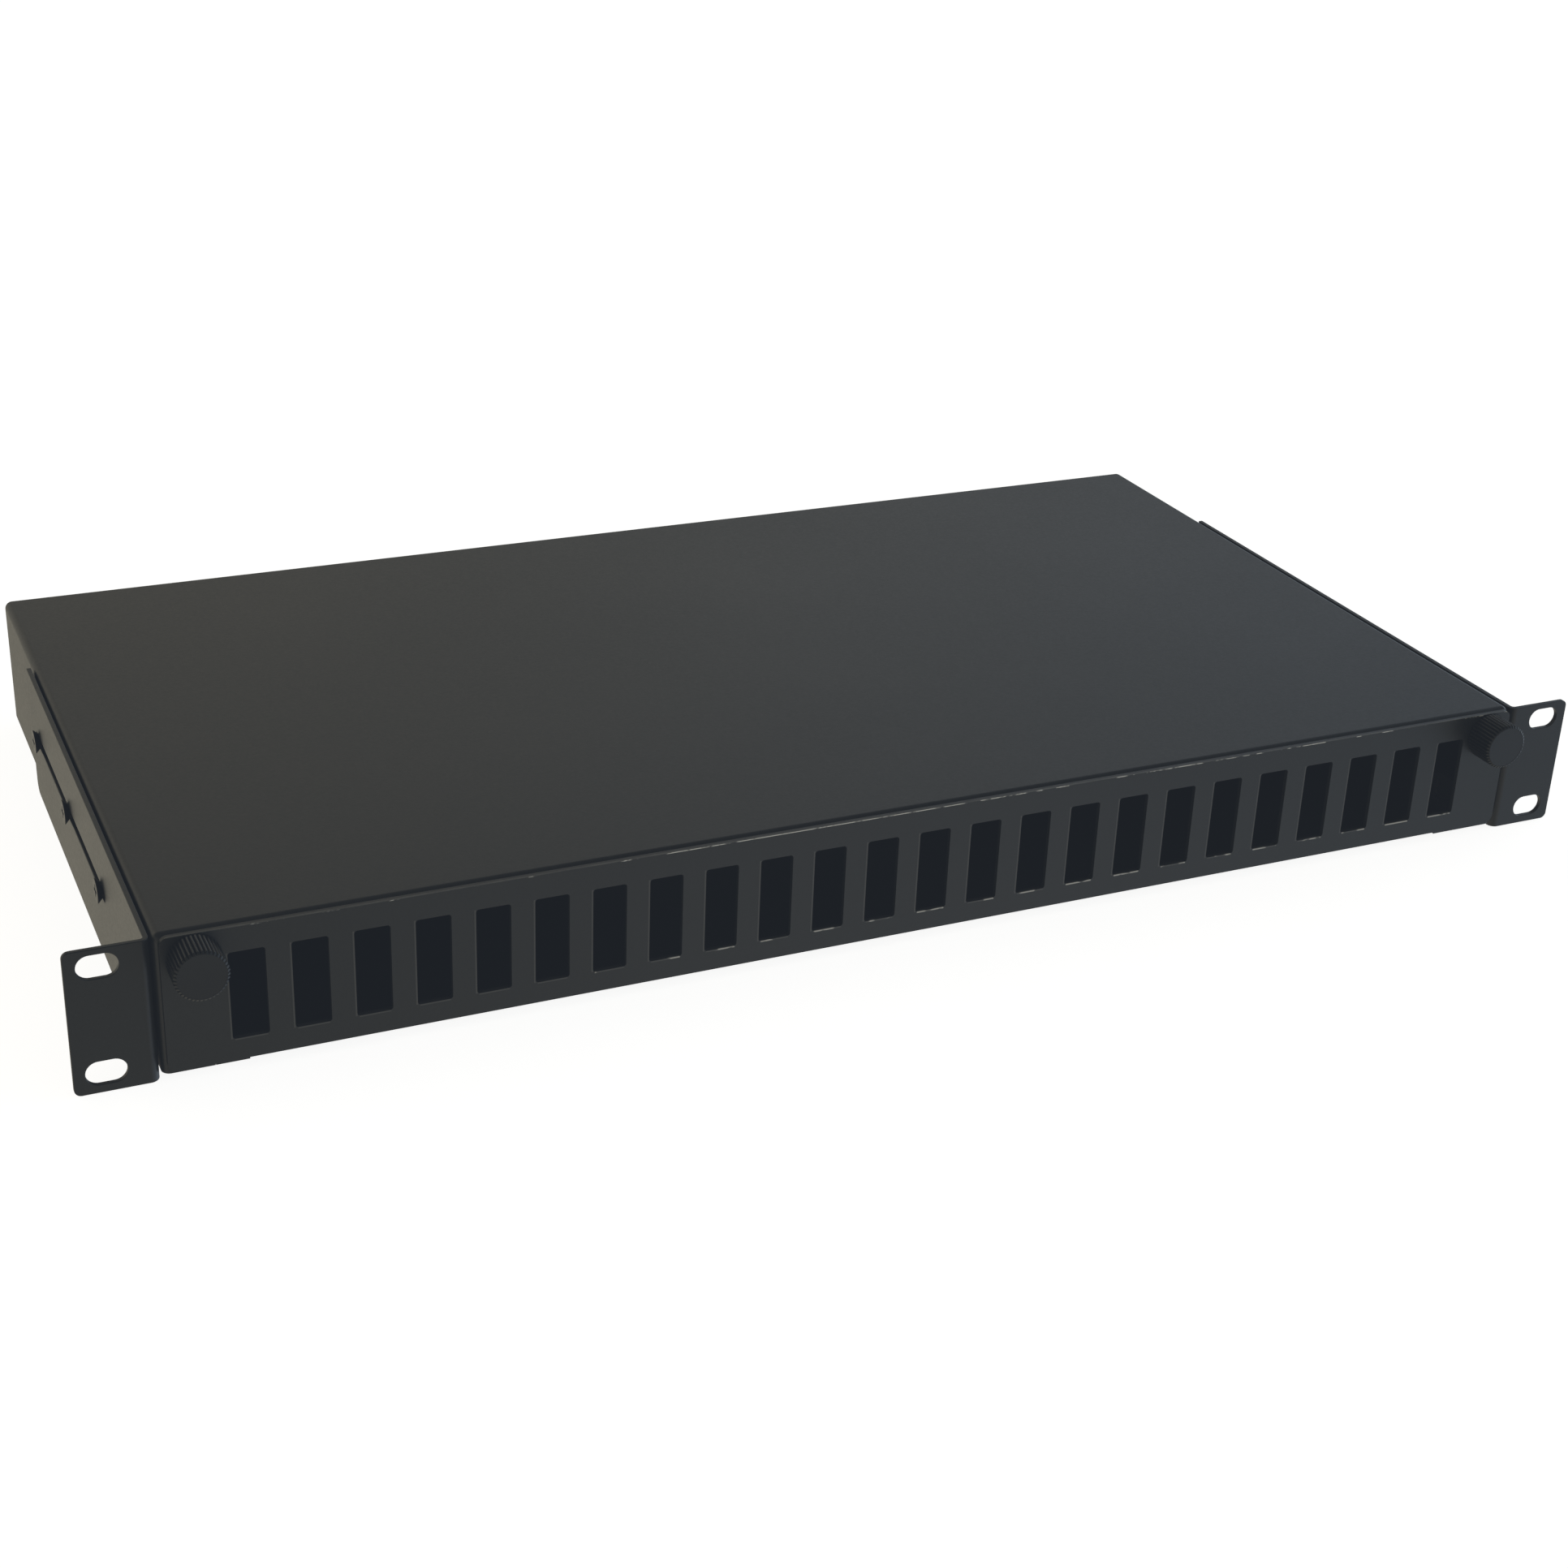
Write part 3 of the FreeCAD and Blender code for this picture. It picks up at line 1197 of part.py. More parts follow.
# ---------------------------------------------------------------- fittings on the tray floor
def fibre_bend_guides():
    """Round cups, split front and rear, with a flat tongue on either side at the top."""
    cup_floor, cup_wall = 1.5, 1.6
    gap_half, gap_low = 4, 4
    tongue_inner, tongue_outer = 6, 5  # ends, inside and outside the cup's radius
    tongue_half, tongue_thick = 4, 1.5
    radius = dim.spool_radius
    top = floor_top + dim.spool_tall
    start, end = radius - tongue_inner, radius + tongue_outer
    guides = []
    for hand, side in SIDES:
        x = side * dim.spool_x
        for j, y in enumerate((118, 180)):
            name = "bend_guide_%s_%d" % (hand, j)
            cup = cut(name + "_cup", cyl(name + "_out", x, y, floor_top, radius, dim.spool_tall), [
                cyl(name + "_in", x, y, floor_top + cup_floor, radius - cup_wall,
                    dim.spool_tall),
                box(name + "_gap", x - gap_half, x + gap_half, y - 30, y + 30,
                    floor_top + gap_low, top + PAST),
            ])
            tongues = [
                box("%s_tongue_%d" % (name, k), x + x0, x + x1, y - tongue_half,
                    y + tongue_half, top - tongue_thick, top)
                for k, (x0, x1) in enumerate(((start, end), (-end, -start)))
            ]
            guides.append(fuse(name, [cup] + tongues))
    group("fibre_bend_guides", guides)


def cable_tie_saddles():
    """Small blocks with a slot running sideways through them."""
    x, half_width, half_depth, height = 105, 6, 4, 5
    top_round = 1.5
    slot_half, slot_low, slot_high = 2.2, 1.4, 3.2
    top = floor_top + height
    saddles = []
    for hand, side in SIDES:
        for j, y in enumerate((215, 60)):
            name = "saddle_%s_%d" % (hand, j)
            foot = box(name + "_foot", x - half_width, x + half_width, y - half_depth,
                       y + half_depth, floor_top, top, side)
            foot = fillet(name + "_soft", foot, top_round,
                          lambda e: near(mid(e).z, top) and along(e, "y"))
            slot = box(name + "_slot", x - half_width - 1, x + half_width + 1,
                       y - slot_half, y + slot_half,
                       floor_top + slot_low, floor_top + slot_high, side)
            saddles.append(cut(name, foot, [slot]))
    group("cable_tie_saddles", saddles)


def cable_clamps():
    """A grooved foot and a grooved bar over it, drawn together by two screws."""
    clamp_x, clamp_half = 183, 12
    front, depth = 208, 10
    block_height, bar_low = 7, 8
    groove_z, groove_radius = 9, 5.0
    screw_out, foot_hole, bar_hole = 9, 1.54, 1.6
    shank_low, shank_radius, shank_length = 1.5, 1.5, 13.7
    head_radius, head_height = 2.8, 2.0
    slot_depth, slot_half = 1.0, 0.4
    middle = front + depth / 2
    bar_top = bar_low + block_height

    def block(name, side, low, hole_radius):
        blank = box(name + "_blank", clamp_x - clamp_half, clamp_x + clamp_half,
                    front, front + depth, floor_top + low, floor_top + low + block_height, side)
        tools = [cyl(name + "_groove", side * clamp_x, front - 1, floor_top + groove_z,
                     groove_radius, depth + 2, "y")]
        for k, out in enumerate((-screw_out, screw_out)):
            tools.append(hole("%s_hole_%d" % (name, k), side * clamp_x + out, middle,
                              floor_top, hole_radius, "z", 20))
        return cut(name, blank, tools)

    feet, bars, screws = [], [], []
    for hand, side in SIDES:
        feet.append(block("clamp_foot_" + hand, side, 0, foot_hole))
        bars.append(block("clamp_bar_" + hand, side, bar_low, bar_hole))
        for k, out in enumerate((-screw_out, screw_out)):
            name = "clamp_screw_%s_%d" % (hand, k)
            x = side * clamp_x + out
            head_top = floor_top + bar_top + head_height
            solid = fuse(name + "_solid", [
                cyl(name + "_shank", x, middle, floor_top + shank_low, shank_radius,
                    shank_length),
                cyl(name + "_head", x, middle, floor_top + bar_top, head_radius, head_height),
            ])
            slot = box(name + "_slot", x - 3, x + 3, middle - slot_half, middle + slot_half,
                       head_top - slot_depth, head_top + 1)
            screws.append(cut(name, solid, [slot]))
    group("cable_clamp_feet", feet)
    group("cable_clamp_bars", bars)
    group("cable_clamp_screws", screws)


# ---------------------------------------------------------------- build, check and export
for build in (
    top_cover, base_plate, rear_cover_screws, side_cover_screws, flange_weld_nuts,
    rack_brackets, slide_screws, rails, drawer_tray, runners,
    front_panel, panel_studs, thumbscrews, thumbscrew_ferrules,
    glands, blanking_plugs, earth_terminal,
    splice_cassettes, cassette_lid, cassette_posts, splice_holders,
    fibre_bend_guides, cable_tie_saddles, cable_clamps,
):
    build()

doc.recompute()
failed = [o.Name for o in doc.Objects if "Invalid" in o.State or "Error" in o.State]
if failed:
    raise RuntimeError("failed objects: " + ", ".join(failed))
for label, o in PARTS.items():
    if o.Shape.isNull() or not o.Shape.isValid() or not o.Shape.Solids:
        raise RuntimeError("bad shape: " + label)
os.makedirs("parts", exist_ok=True)
for label, o in PARTS.items():
    o.Shape.exportStep(os.path.join("parts", label + ".step"))
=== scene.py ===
import json
import math

import bpy
from mathutils import Matrix, Vector


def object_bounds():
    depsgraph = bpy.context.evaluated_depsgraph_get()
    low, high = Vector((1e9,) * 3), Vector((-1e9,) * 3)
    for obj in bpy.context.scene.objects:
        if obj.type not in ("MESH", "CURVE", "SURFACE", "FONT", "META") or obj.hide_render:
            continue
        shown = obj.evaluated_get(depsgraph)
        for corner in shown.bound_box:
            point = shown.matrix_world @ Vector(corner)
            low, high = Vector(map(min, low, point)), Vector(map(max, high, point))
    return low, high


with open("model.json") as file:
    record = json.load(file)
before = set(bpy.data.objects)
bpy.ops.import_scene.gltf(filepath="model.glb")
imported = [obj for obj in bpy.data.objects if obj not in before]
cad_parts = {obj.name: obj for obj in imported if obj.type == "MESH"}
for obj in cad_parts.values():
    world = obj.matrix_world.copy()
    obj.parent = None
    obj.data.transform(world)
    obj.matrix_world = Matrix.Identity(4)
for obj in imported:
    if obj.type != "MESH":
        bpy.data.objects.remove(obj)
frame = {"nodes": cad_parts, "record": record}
NODES = frame["nodes"]
SLOT = {part["node"]: part["material_slot"] for part in frame["record"]["subparts"]}
CAD_LOW, CAD_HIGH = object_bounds()
scene = bpy.context.scene
MM = 0.001

# Front panel ports, for the rubbed marks and painted highlights on their edges
PORT_PITCH = 0.01692
PORT_LOW = -0.01236      # height of the middle of the rounding under the openings
PORT_LEFT = 0.00520      # from a port's centre line to its left edge
PORT_SIDE_MID = 0.0010   # height of the middle of a port's side

# Bevelled edges: width in mm, segments, and the least angle bevelled in degrees
SHEET_BEVEL = {name: (width, 3, 40) for name, width in (
    ("top_cover", 0.28), ("base_plate", 0.25), ("front_panel", 0.42),
    ("drawer_tray", 0.20), ("left_bracket", 0.28), ("right_bracket", 0.28))}
SCREW_BEVEL = {name: (0.10, 2, 50) for name in ("left_thumbscrew", "right_thumbscrew")}
BEVELS = {**SHEET_BEVEL, **SCREW_BEVEL}
OTHER_BEVEL = (0.15, 2, 40)
WELD_DISTANCE = 2e-6
FLAT_ANGLE = 0.6         # degrees; faces flatter than this are joined
SMOOTH_ANGLE = 35        # degrees; edges above this stay sharp

FLOOR_SIZE = 12
FLOOR_GAP = 0.0004       # from the lowest CAD point down to the floor


# ---------------------------------------------------------------- node helpers
class Graph:
    """Short calls that add shader nodes to a tree and return their outputs."""

    def __init__(self, tree):
        self.tree = tree
        tree.nodes.clear()

    def feed(self, source, socket):
        """Link an output or set a value; a colour gets full alpha."""
        if isinstance(source, bpy.types.NodeSocket):
            self.tree.links.new(source, socket)
        elif socket.type == "RGBA":
            socket.default_value = source + (1.0,)
        else:
            socket.default_value = source

    def node(self, kind, inputs=None, **settings):
        """Add a node; inputs maps a socket's name or index to what feeds it."""
        made = self.tree.nodes.new("ShaderNode" + kind)
        for key, value in settings.items():
            setattr(made, key, value)
        for key, source in (inputs or {}).items():
            self.feed(source, made.inputs[key])
        return made

    def math(self, operation, a, b=0.0, c=0.0, clamp=False):
        return self.node("Math", {0: a, 1: b, 2: c}, operation=operation, use_clamp=clamp).outputs[0]

    def times(self, a, b):
        return self.math("MULTIPLY", a, b)

    def plus(self, a, b):
        return self.math("ADD", a, b)

    def lin(self, value, span, to=(0.0, 1.0), interpolation="LINEAR"):
        """Map the span onto the range `to`; either may run downwards."""
        inputs = dict(enumerate((value, *span, *to)))
        return self.node("MapRange", inputs, interpolation_type=interpolation).outputs[0]

    def ramp(self, value, span, to=(0.0, 1.0)):
        return self.lin(value, span, to, "SMOOTHSTEP")

    def distance(self, value, centre):
        return self.math("ABSOLUTE", self.math("SUBTRACT", value, centre))

    def band(self, value, centre, span):
        """1 near the centre, fading to 0 between the span's two distances from it."""
        return self.ramp(self.distance(value, centre), span)

    def mix(self, factor, a, b):
        return self.node("Mix", {0: factor, 6: a, 7: b}, data_type="RGBA").outputs[2]


class Material(Graph):
    """A principled material whose textures lie in object space."""

    def __init__(self, name):
        self.block = bpy.data.materials.new(name)
        self.block.use_nodes = True
        super().__init__(self.block.node_tree)
        self.output = self.node("OutputMaterial")
        self.shader = self.node("BsdfPrincipled")
        self.feed(self.shader.outputs[0], self.output.inputs[0])
        self.place = self.node("TexCoord").outputs["Object"]

    def axes(self):
        return tuple(self.node("SeparateXYZ", {0: self.place}).outputs)

    def noise(self, scale, detail=2.0, rough=0.5, offset=0.0, stretch=(1, 1, 1)):
        place = self.place
        if offset:
            shift = (offset, offset * 0.7, offset * 1.3)
            place = self.node("Mapping", {0: place, "Scale": stretch, "Location": shift}).outputs[0]
        return self.node("TexNoise", {"Scale": scale, "Detail": detail, "Roughness": rough,
                                      "Vector": place}).outputs[0]

    def specks(self, scale, radius, share):
        """Sparse dots: a share of the cells holds one, radius in cell units."""
        cells = self.node("TexVoronoi", {"Scale": scale, "Vector": self.place})
        chance = self.node("SeparateColor", {0: cells.outputs["Color"]}).outputs[0]
        dot = self.ramp(cells.outputs["Distance"], span=(radius * 1.3, radius * 0.7))
        return self.times(dot, self.math("LESS_THAN", chance, share))

    def bump(self, height, distance, strength):
        return self.node("Bump", {"Strength": strength, "Distance": distance,
                                  "Height": height}).outputs[0]

    def finish(self, **channels):
        for key, source in channels.items():
            self.feed(source, self.shader.inputs[key.replace("_", " ")])
        return self.block


def shade(colour, factor):
    return tuple(channel * factor for channel in colour)


def uneven_rough(mat, broad, fine, rough, spread):
    """Roughness that drifts by the spread over broad patches, with a fine grain."""
    drift = mat.lin(broad, span=(0.3, 0.7), to=(rough - spread / 2, rough + spread / 2))
    return mat.plus(drift, mat.lin(fine, span=(0.3, 0.7), to=(-0.03, 0.03)))


# ---------------------------------------------------------------- front panel: chips, rubbed edges and painted highlights
def top_edge_wear_and_sheen(mat, x, y, z):
    """Chips along the top front edge, over a painted highlight all along it."""
    front = mat.ramp(y, span=(-0.00118, -0.00130))
    strip = mat.times(mat.ramp(z, span=(0.02134, 0.02142)), mat.ramp(z, span=(0.02166, 0.02158)))
    strip = mat.times(strip, front)
    spots = mat.noise(scale=340, detail=3.0, rough=0.72, stretch=(0.36, 1, 1), offset=1.7)
    # chips gather right of the middle
    region = mat.plus(
        mat.noise(scale=16, detail=1.0, rough=0.5, stretch=(1, 0, 0), offset=5.3),
        mat.lin(mat.distance(x, centre=0.055), span=(0.08, 0.20), to=(0.16, -0.14)))
    chance = mat.plus(spots, mat.times(region, 0.45))
    chips = mat.times(strip, mat.ramp(chance, span=(0.72, 0.82)))
    # a painted highlight: a thin lighter line along the front of the top face, in patches
    rim = mat.times(mat.ramp(z, span=(0.02148, 0.02156)), mat.ramp(y, span=(-0.00085, -0.00105)))
    patches = mat.noise(scale=90, detail=2.0, rough=0.5, stretch=(1, 0, 0), offset=2.6)
    painted_sheen = mat.times(rim, mat.lin(patches, span=(0.3, 0.7), to=(0.03, 0.12)))
    return mat.math("MAXIMUM", mat.times(chips, 0.9), painted_sheen)


def port_wear_and_sheen(mat, x, y, z):
    """Worn streaks on the ports' lower edges; a faint painted highlight down their left edges and
    faint rubbed marks on their lower edges.
    """
    def lower_edge():
        return mat.band(z, PORT_LOW, span=(0.00027, 0.00016))

    def in_row(ends):
        return mat.ramp(mat.math("ABSOLUTE", x), span=ends)

    # place within one pitch, 0.5 being the port's centre line
    cell = mat.math("FRACT", mat.plus(mat.math("DIVIDE", x, PORT_PITCH), 100.0))
    inside = mat.band(cell, 0.5, span=(0.0046 / PORT_PITCH, 0.0042 / PORT_PITCH))
    inside = mat.times(inside, in_row(ends=(0.2035, 0.2030)))
    front = mat.ramp(y, span=(-0.00100, -0.00115))
    streaks = mat.times(lower_edge(), mat.times(front, inside))
    # fewer streaks towards the left end
    spots = mat.plus(
        mat.noise(scale=260, detail=2.0, rough=0.6, stretch=(0.6, 1, 1), offset=9.1),
        mat.lin(x, span=(-0.17, 0.02), to=(-0.13, 0.09)))
    streaks = mat.times(streaks, mat.ramp(spots, span=(0.50, 0.60)))

    # a painted highlight: a faint light line down each port's left edge
    side = mat.band(cell, 0.5 - PORT_LEFT / PORT_PITCH,
                    span=(0.00030 / PORT_PITCH, 0.00018 / PORT_PITCH))
    left = mat.times(side, mat.times(mat.ramp(y, span=(-0.00095, -0.00110)),
                                     mat.band(z, PORT_SIDE_MID, span=(0.01320, 0.01300))))
    left = mat.times(left, in_row(ends=(0.2045, 0.2035)))
    faint = mat.times(mat.math("MAXIMUM", left, mat.times(lower_edge(), inside)), 0.06)
    return faint, mat.times(streaks, 0.6)


def panel_wear_and_sheen(mat):
    """How far the coat is rubbed through, or lightened by painted highlights: 0 is whole, 1 is bare.
    """
    place = mat.axes()
    top = top_edge_wear_and_sheen(mat, *place)
    faint, streaks = port_wear_and_sheen(mat, *place)
    return mat.math("MAXIMUM", mat.math("MAXIMUM", top, faint), streaks, clamp=True)


# ---------------------------------------------------------------- materials
POWDER_TINT = (0.0088, 0.0102, 0.0100)
SPECK_COLOUR = (0.22, 0.22, 0.20)
# pale bare metal at chips, also the colour of the front panel's painted highlights
WORN_AND_SHEEN_COLOUR = (0.86, 0.86, 0.83)


def powder(name, wear_and_sheen=None):
    """Fine-textured powder coat on sheet steel, with a few pale specks."""
    mat = Material(name)
    fine = mat.noise(scale=2600, detail=3.0, rough=0.55)
    coarse = mat.noise(scale=900, detail=2.0, rough=0.5, offset=3.1)
    broad = mat.noise(scale=9, detail=3.0, rough=0.55, offset=7.7)
    grain = mat.plus(mat.times(fine, 0.5), mat.times(coarse, 0.5))
    colour = mat.mix(mat.ramp(broad, span=(0.35, 0.65)),
                     shade(POWDER_TINT, 0.80), shade(POWDER_TINT, 1.25))
    peaks = mat.times(mat.ramp(grain, span=(0.42, 0.62)), 0.35)
    colour = mat.mix(peaks, colour, shade(POWDER_TINT, 1.9))
    rough = mat.plus(mat.lin(broad, span=(0.3, 0.7), to=(0.395, 0.425)),
                     mat.lin(grain, span=(0.35, 0.65), to=(-0.03, 0.05)))
    specks = mat.specks(scale=23.0, radius=0.0085, share=0.22)
    colour = mat.mix(mat.times(specks, 0.5), colour, SPECK_COLOUR)
    if wear_and_sheen:
        # the mask holds chips and rubbed marks, and on the front panel also painted highlights
        wear_and_sheen_amount = wear_and_sheen(mat)
        colour = mat.mix(wear_and_sheen_amount, colour, WORN_AND_SHEEN_COLOUR)
        rough = mat.times(rough, mat.lin(wear_and_sheen_amount, span=(0, 1), to=(1.0, 0.72)))
    return mat.finish(Base_Color=colour, Roughness=rough, Specular_IOR_Level=0.50,
                      Normal=mat.bump(grain, distance=0.00006, strength=0.55))


def metal(name, colour, rough, scale=1800, brushed=(1, 1, 1), spec=0.5, metallic=1.0):
    """Machined or plated metal; brushed stretches its fine grain."""
    mat = Material(name)
    broad = mat.noise(scale=60, detail=3.0, rough=0.6, offset=2.2)
    fine = mat.noise(scale=scale, detail=3.0, rough=0.6, stretch=brushed, offset=4.4)
    tone = mat.mix(mat.ramp(broad, span=(0.3, 0.7)), shade(colour, 0.86), shade(colour, 1.08))
    tone = mat.mix(mat.times(fine, 0.25), tone, shade(colour, 0.7))
    return mat.finish(Base_Color=tone, Metallic=metallic, Specular_IOR_Level=spec,
                      Roughness=uneven_rough(mat, broad, fine, rough, spread=0.08),
                      Normal=mat.bump(fine, distance=0.00002, strength=0.35))


def plastic(name, colour, rough, grain=1500, depth=0.00003, spec=0.5):
    """Moulded plastic or rubber with a fine grain."""
    mat = Material(name)
    broad = mat.noise(scale=25, detail=3.0, rough=0.6, offset=1.2)
    fine = mat.noise(scale=grain, detail=2.0, rough=0.5, offset=6.1)
    tone = mat.mix(mat.ramp(broad, span=(0.3, 0.7)), shade(colour, 0.90), shade(colour, 1.07))
    return mat.finish(Base_Color=tone, Specular_IOR_Level=spec,
                      Roughness=uneven_rough(mat, broad, fine, rough, spread=0.10),
                      Normal=mat.bump(fine, distance=depth, strength=0.5))


def clear_lid(name):
    """Glossy, see-through, faintly blue plastic."""
    mat = Material(name)
    tone = mat.mix(mat.noise(scale=30), (0.50, 0.56, 0.60), (0.60, 0.65, 0.68))
    return mat.finish(Base_Color=tone, Roughness=0.16, Alpha=0.42)


def black_film(name, colour, rough, spec, **grain):
    """Anodised or blackened metal: a film covers it, so it isn't bare metal."""
    return metal(name, colour, rough, spec=spec, metallic=0.0, **grain)


# name: (maker, its settings)
LOOKS = {
    "powder_coat": (powder, {}),
    "knob_black": (black_film, dict(colour=(0.0085, 0.0098, 0.0105), rough=0.40, spec=0.42)),
    "zinc_steel": (metal, dict(colour=(0.60, 0.61, 0.63), rough=0.34)),
    "black_screw": (black_film, dict(colour=(0.0100, 0.0105, 0.0110), rough=0.38, spec=0.45)),
    "rail_alloy": (black_film, dict(colour=(0.0130, 0.0135, 0.0140), rough=0.42, spec=0.45,
                                    scale=900, brushed=(1, 0.02, 1))),
    "ferrule_steel": (metal, dict(colour=(0.55, 0.55, 0.56), rough=0.30)),
    "acetal": (plastic, dict(colour=(0.72, 0.71, 0.66), rough=0.45)),
    "gland_plastic": (plastic, dict(colour=(0.035, 0.037, 0.040), rough=0.48)),
    "seal_rubber": (plastic, dict(colour=(0.016, 0.016, 0.016), rough=0.72, spec=0.35,
                                  grain=700, depth=0.00008)),
    "brass": (metal, dict(colour=(0.72, 0.52, 0.22), rough=0.30)),
    "cassette_plastic": (plastic, dict(colour=(0.46, 0.47, 0.46), rough=0.50)),
    "holder_plastic": (plastic, dict(colour=(0.03, 0.13, 0.38), rough=0.45)),
    "guide_plastic": (plastic, dict(colour=(0.42, 0.42, 0.39), rough=0.50)),
    "black_plastic": (plastic, dict(colour=(0.022, 0.022, 0.024), rough=0.50)),
    "lid_plastic": (clear_lid, {}),
}
MATERIALS = {name: make(name, **look) for name, (make, look) in LOOKS.items()}
PANEL = powder("powder_coat_panel", wear_and_sheen=panel_wear_and_sheen)


# ---------------------------------------------------------------- shape finish
def smooth_group(angle):
    """A geometry node group that shades smooth and keeps edges above the angle sharp."""
    group = bpy.data.node_groups.new("smooth_%d" % angle, "GeometryNodeTree")
    for direction in ("INPUT", "OUTPUT"):
        group.interface.new_socket("Geometry", in_out=direction,
                                   socket_type="NodeSocketGeometry")
    add, link = group.nodes.new, group.links.new
    source, result = add("NodeGroupInput"), add("NodeGroupOutput")
    faces = add("GeometryNodeSetShadeSmooth")
    faces.domain = "FACE"
    edges = add("GeometryNodeSetShadeSmooth")
    edges.domain = "EDGE"
    edges.inputs["Shade Smooth"].default_value = False
    edge_angle = add("GeometryNodeInputMeshEdgeAngle")
    sharp = add("FunctionNodeCompare")
    sharp.operation = "GREATER_THAN"
    sharp.inputs[1].default_value = math.radians(angle)
    link(edge_angle.outputs[0], sharp.inputs[0])
    link(source.outputs[0], faces.inputs["Geometry"])
    link(faces.outputs[0], edges.inputs["Geometry"])
    link(sharp.outputs[0], edges.inputs["Selection"])
    link(edges.outputs[0], result.inputs[0])
    return group


def modify(piece, name, kind, **settings):
    modifier = piece.modifiers.new(name, kind)
    for key, value in settings.items():
        setattr(modifier, key, value)


def finish_shape(piece, width, segments, limit):
    """Clear the imported shading, then weld, flatten, bevel and smooth."""
    attributes = piece.data.attributes
    for name in ("custom_normal", "sharp_edge", "sharp_face"):
        if name in attributes:
            attributes.remove(attributes[name])
    modify(piece, "weld", "WELD", merge_threshold=WELD_DISTANCE)
    modify(piece, "flat", "DECIMATE", decimate_type="DISSOLVE",
           angle_limit=math.radians(FLAT_ANGLE))
    modify(piece, "edges", "BEVEL", width=width * MM, segments=segments,
           limit_method="ANGLE", angle_limit=math.radians(limit),
           miter_outer="MITER_ARC", use_clamp_overlap=True, harden_normals=False)
    modify(piece, "smooth", "NODES", node_group=SMOOTH)
    modify(piece, "normals", "WEIGHTED_NORMAL", keep_sharp=True, weight=50)


SMOOTH = smooth_group(SMOOTH_ANGLE)
for name, piece in NODES.items():
    piece.data.materials.clear()
    piece.data.materials.append(PANEL if name == "front_panel" else MATERIALS[SLOT[name]])
    for face in piece.data.polygons:
        face.material_index = 0
    finish_shape(piece, *BEVELS.get(name, OTHER_BEVEL))


# ---------------------------------------------------------------- floor
def floor_material():
    """Pale from above; clear from below, so the underside can be looked at."""
    mat = Material("floor_pale")
    tone = mat.mix(mat.noise(scale=1.2), (0.84, 0.84, 0.84), (0.86, 0.86, 0.86))
    mat.finish(Base_Color=tone, Roughness=0.9, Specular_IOR_Level=0.0,
               Emission_Color=(1.0, 1.0, 1.0), Emission_Strength=0.885)
    below = mat.node("NewGeometry").outputs["Backfacing"]
    clear = mat.node("BsdfTransparent").outputs[0]
    surface = mat.node("MixShader", {0: below, 1: mat.shader.outputs[0], 2: clear})
    mat.feed(surface.outputs[0], mat.output.inputs[0])
    return mat.block


bpy.ops.mesh.primitive_plane_add(size=FLOOR_SIZE, location=(0, 0, CAD_LOW.z - FLOOR_GAP))
floor = bpy.context.object
floor.name = "floor"
floor.data.materials.append(floor_material())
# the floor is a backdrop: the world, not the floor, is what the object reflects
floor.visible_diffuse = False
floor.visible_glossy = False
floor.visible_transmission = False
floor.visible_shadow = False


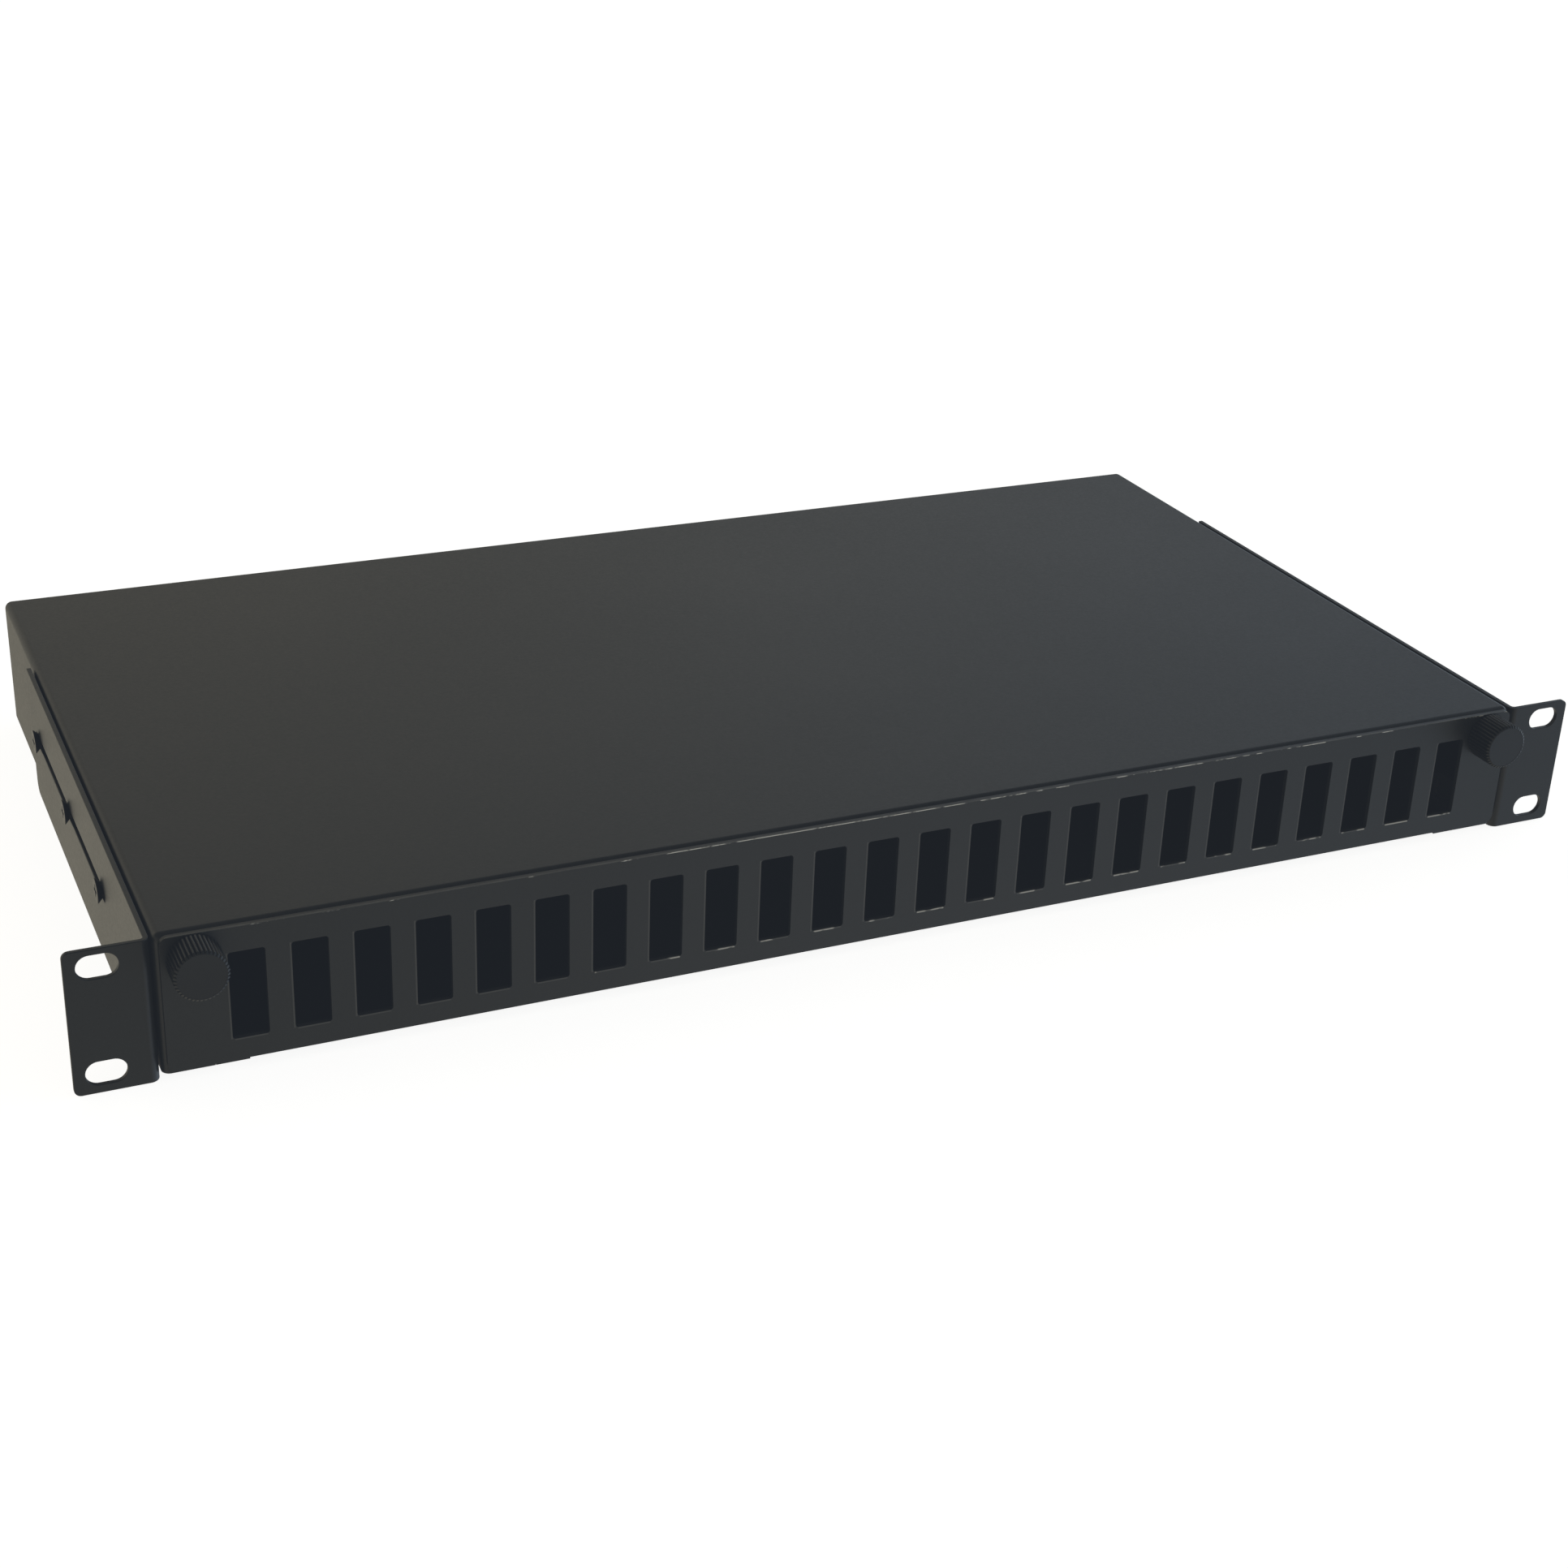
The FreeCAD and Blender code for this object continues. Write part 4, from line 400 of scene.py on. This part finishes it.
# ---------------------------------------------------------------- world
def build_world():
    """Bright walls under a darker ceiling, warm to the left and cool to the right."""
    world = bpy.data.worlds.new("studio")
    scene.world = world
    world.use_nodes = True
    sky = Graph(world.node_tree)
    direction = sky.node("TexCoord").outputs["Generated"]
    x, y, z = sky.node("SeparateXYZ", {0: direction}).outputs

    def product(a, b):
        # unlike Graph.times, leaves the unused third input at its default
        return sky.node("Math", {0: a, 1: b}, operation="MULTIPLY").outputs[0]

    # dimmer overhead and in front
    walls = product(sky.ramp(z, span=(0.30, 0.68), to=(0.545, 0.11)),
                    sky.ramp(y, span=(-0.9, -0.2), to=(0.56, 1.0)))
    # a little brighter low at the back, much brighter far right
    low_back = product(sky.ramp(y, span=(0.45, 0.75)), sky.ramp(z, span=(-0.28, -0.42)))
    gain = sky.math("MULTIPLY_ADD", low_back, b=0.20, c=1.0)
    level = product(product(walls, gain), sky.ramp(x, span=(0.68, 0.88), to=(1.0, 2.4)))
    warm, cool = (1.02, 0.94, 0.735), (0.72, 0.835, 0.96)
    tint = sky.mix(sky.ramp(x, span=(0.10, 0.75)), warm, cool)
    studio = sky.node("Background", {"Color": tint, "Strength": level}).outputs[0]
    # the camera itself sees a pale backdrop
    pale = sky.node("Background", {"Color": (1.0, 1.0, 1.0), "Strength": 1.0}).outputs[0]
    seen = sky.node("LightPath").outputs["Is Camera Ray"]
    shown = sky.node("MixShader", {0: seen, 1: studio, 2: pale}).outputs[0]
    sky.node("OutputWorld", {0: shown})


build_world()


# ---------------------------------------------------------------- lights and camera
def area(name, place, target, size, power):
    """A rectangular light at a place, aimed at a target."""
    light = bpy.data.lights.new(name, "AREA")
    light.shape = "RECTANGLE"
    light.size, light.size_y = size
    light.energy = power
    lamp = bpy.data.objects.new(name, light)
    scene.collection.objects.link(lamp)
    lamp.location = place
    lamp.rotation_mode = "QUATERNION"
    lamp.rotation_quaternion = (Vector(target) - Vector(place)).to_track_quat("-Z", "Y")
    return lamp


area("softbox_back", place=(1.5, 2.3, 0.95), target=(0, 0.1, 0), size=(1.2, 0.8), power=0.35)
# light thrown back by the table in front of the object
bounce = area("table_bounce", place=(0.50, -0.94, -0.56), target=(0, 0, 0),
              size=(0.7, 0.4), power=0.46)
bounce.visible_camera = False


def add_camera(place, turn, height, roll, lens):
    """A camera turned about Z from the front, raised and rolled, in degrees."""
    data = bpy.data.cameras.new("camera")
    camera = bpy.data.objects.new("camera", data)
    scene.collection.objects.link(camera)
    data.sensor_width = 36.0
    data.lens = lens
    data.clip_start, data.clip_end = 0.01, 50
    turn, height, roll = (math.radians(angle) for angle in (turn, height, roll))
    back = Vector((math.sin(turn) * math.cos(height), -math.cos(turn) * math.cos(height),
                   math.sin(height)))
    right = (-back).cross(Vector((0, 0, 1))).normalized()
    up = right.cross(-back)
    right, up = (right * math.cos(roll) + up * math.sin(roll),
                 up * math.cos(roll) - right * math.sin(roll))
    rotation = Matrix((right, up, back)).transposed().to_4x4()
    camera.matrix_world = Matrix.Translation(Vector(place)) @ rotation
    scene.camera = camera


add_camera(place=(-0.31098, -0.57539, 0.34435), turn=-25.173, height=25.831, roll=2.424,
           lens=57.55)

view = scene.view_settings
view.view_transform = "Standard"
view.look = "None"
view.exposure = 0.0
view.gamma = 1.0
# the faint veil a lens puts over a black object on a white ground
view.use_curve_mapping = True
view.curve_mapping.black_level = (-0.0122, -0.0147, -0.0187)
view.curve_mapping.update()
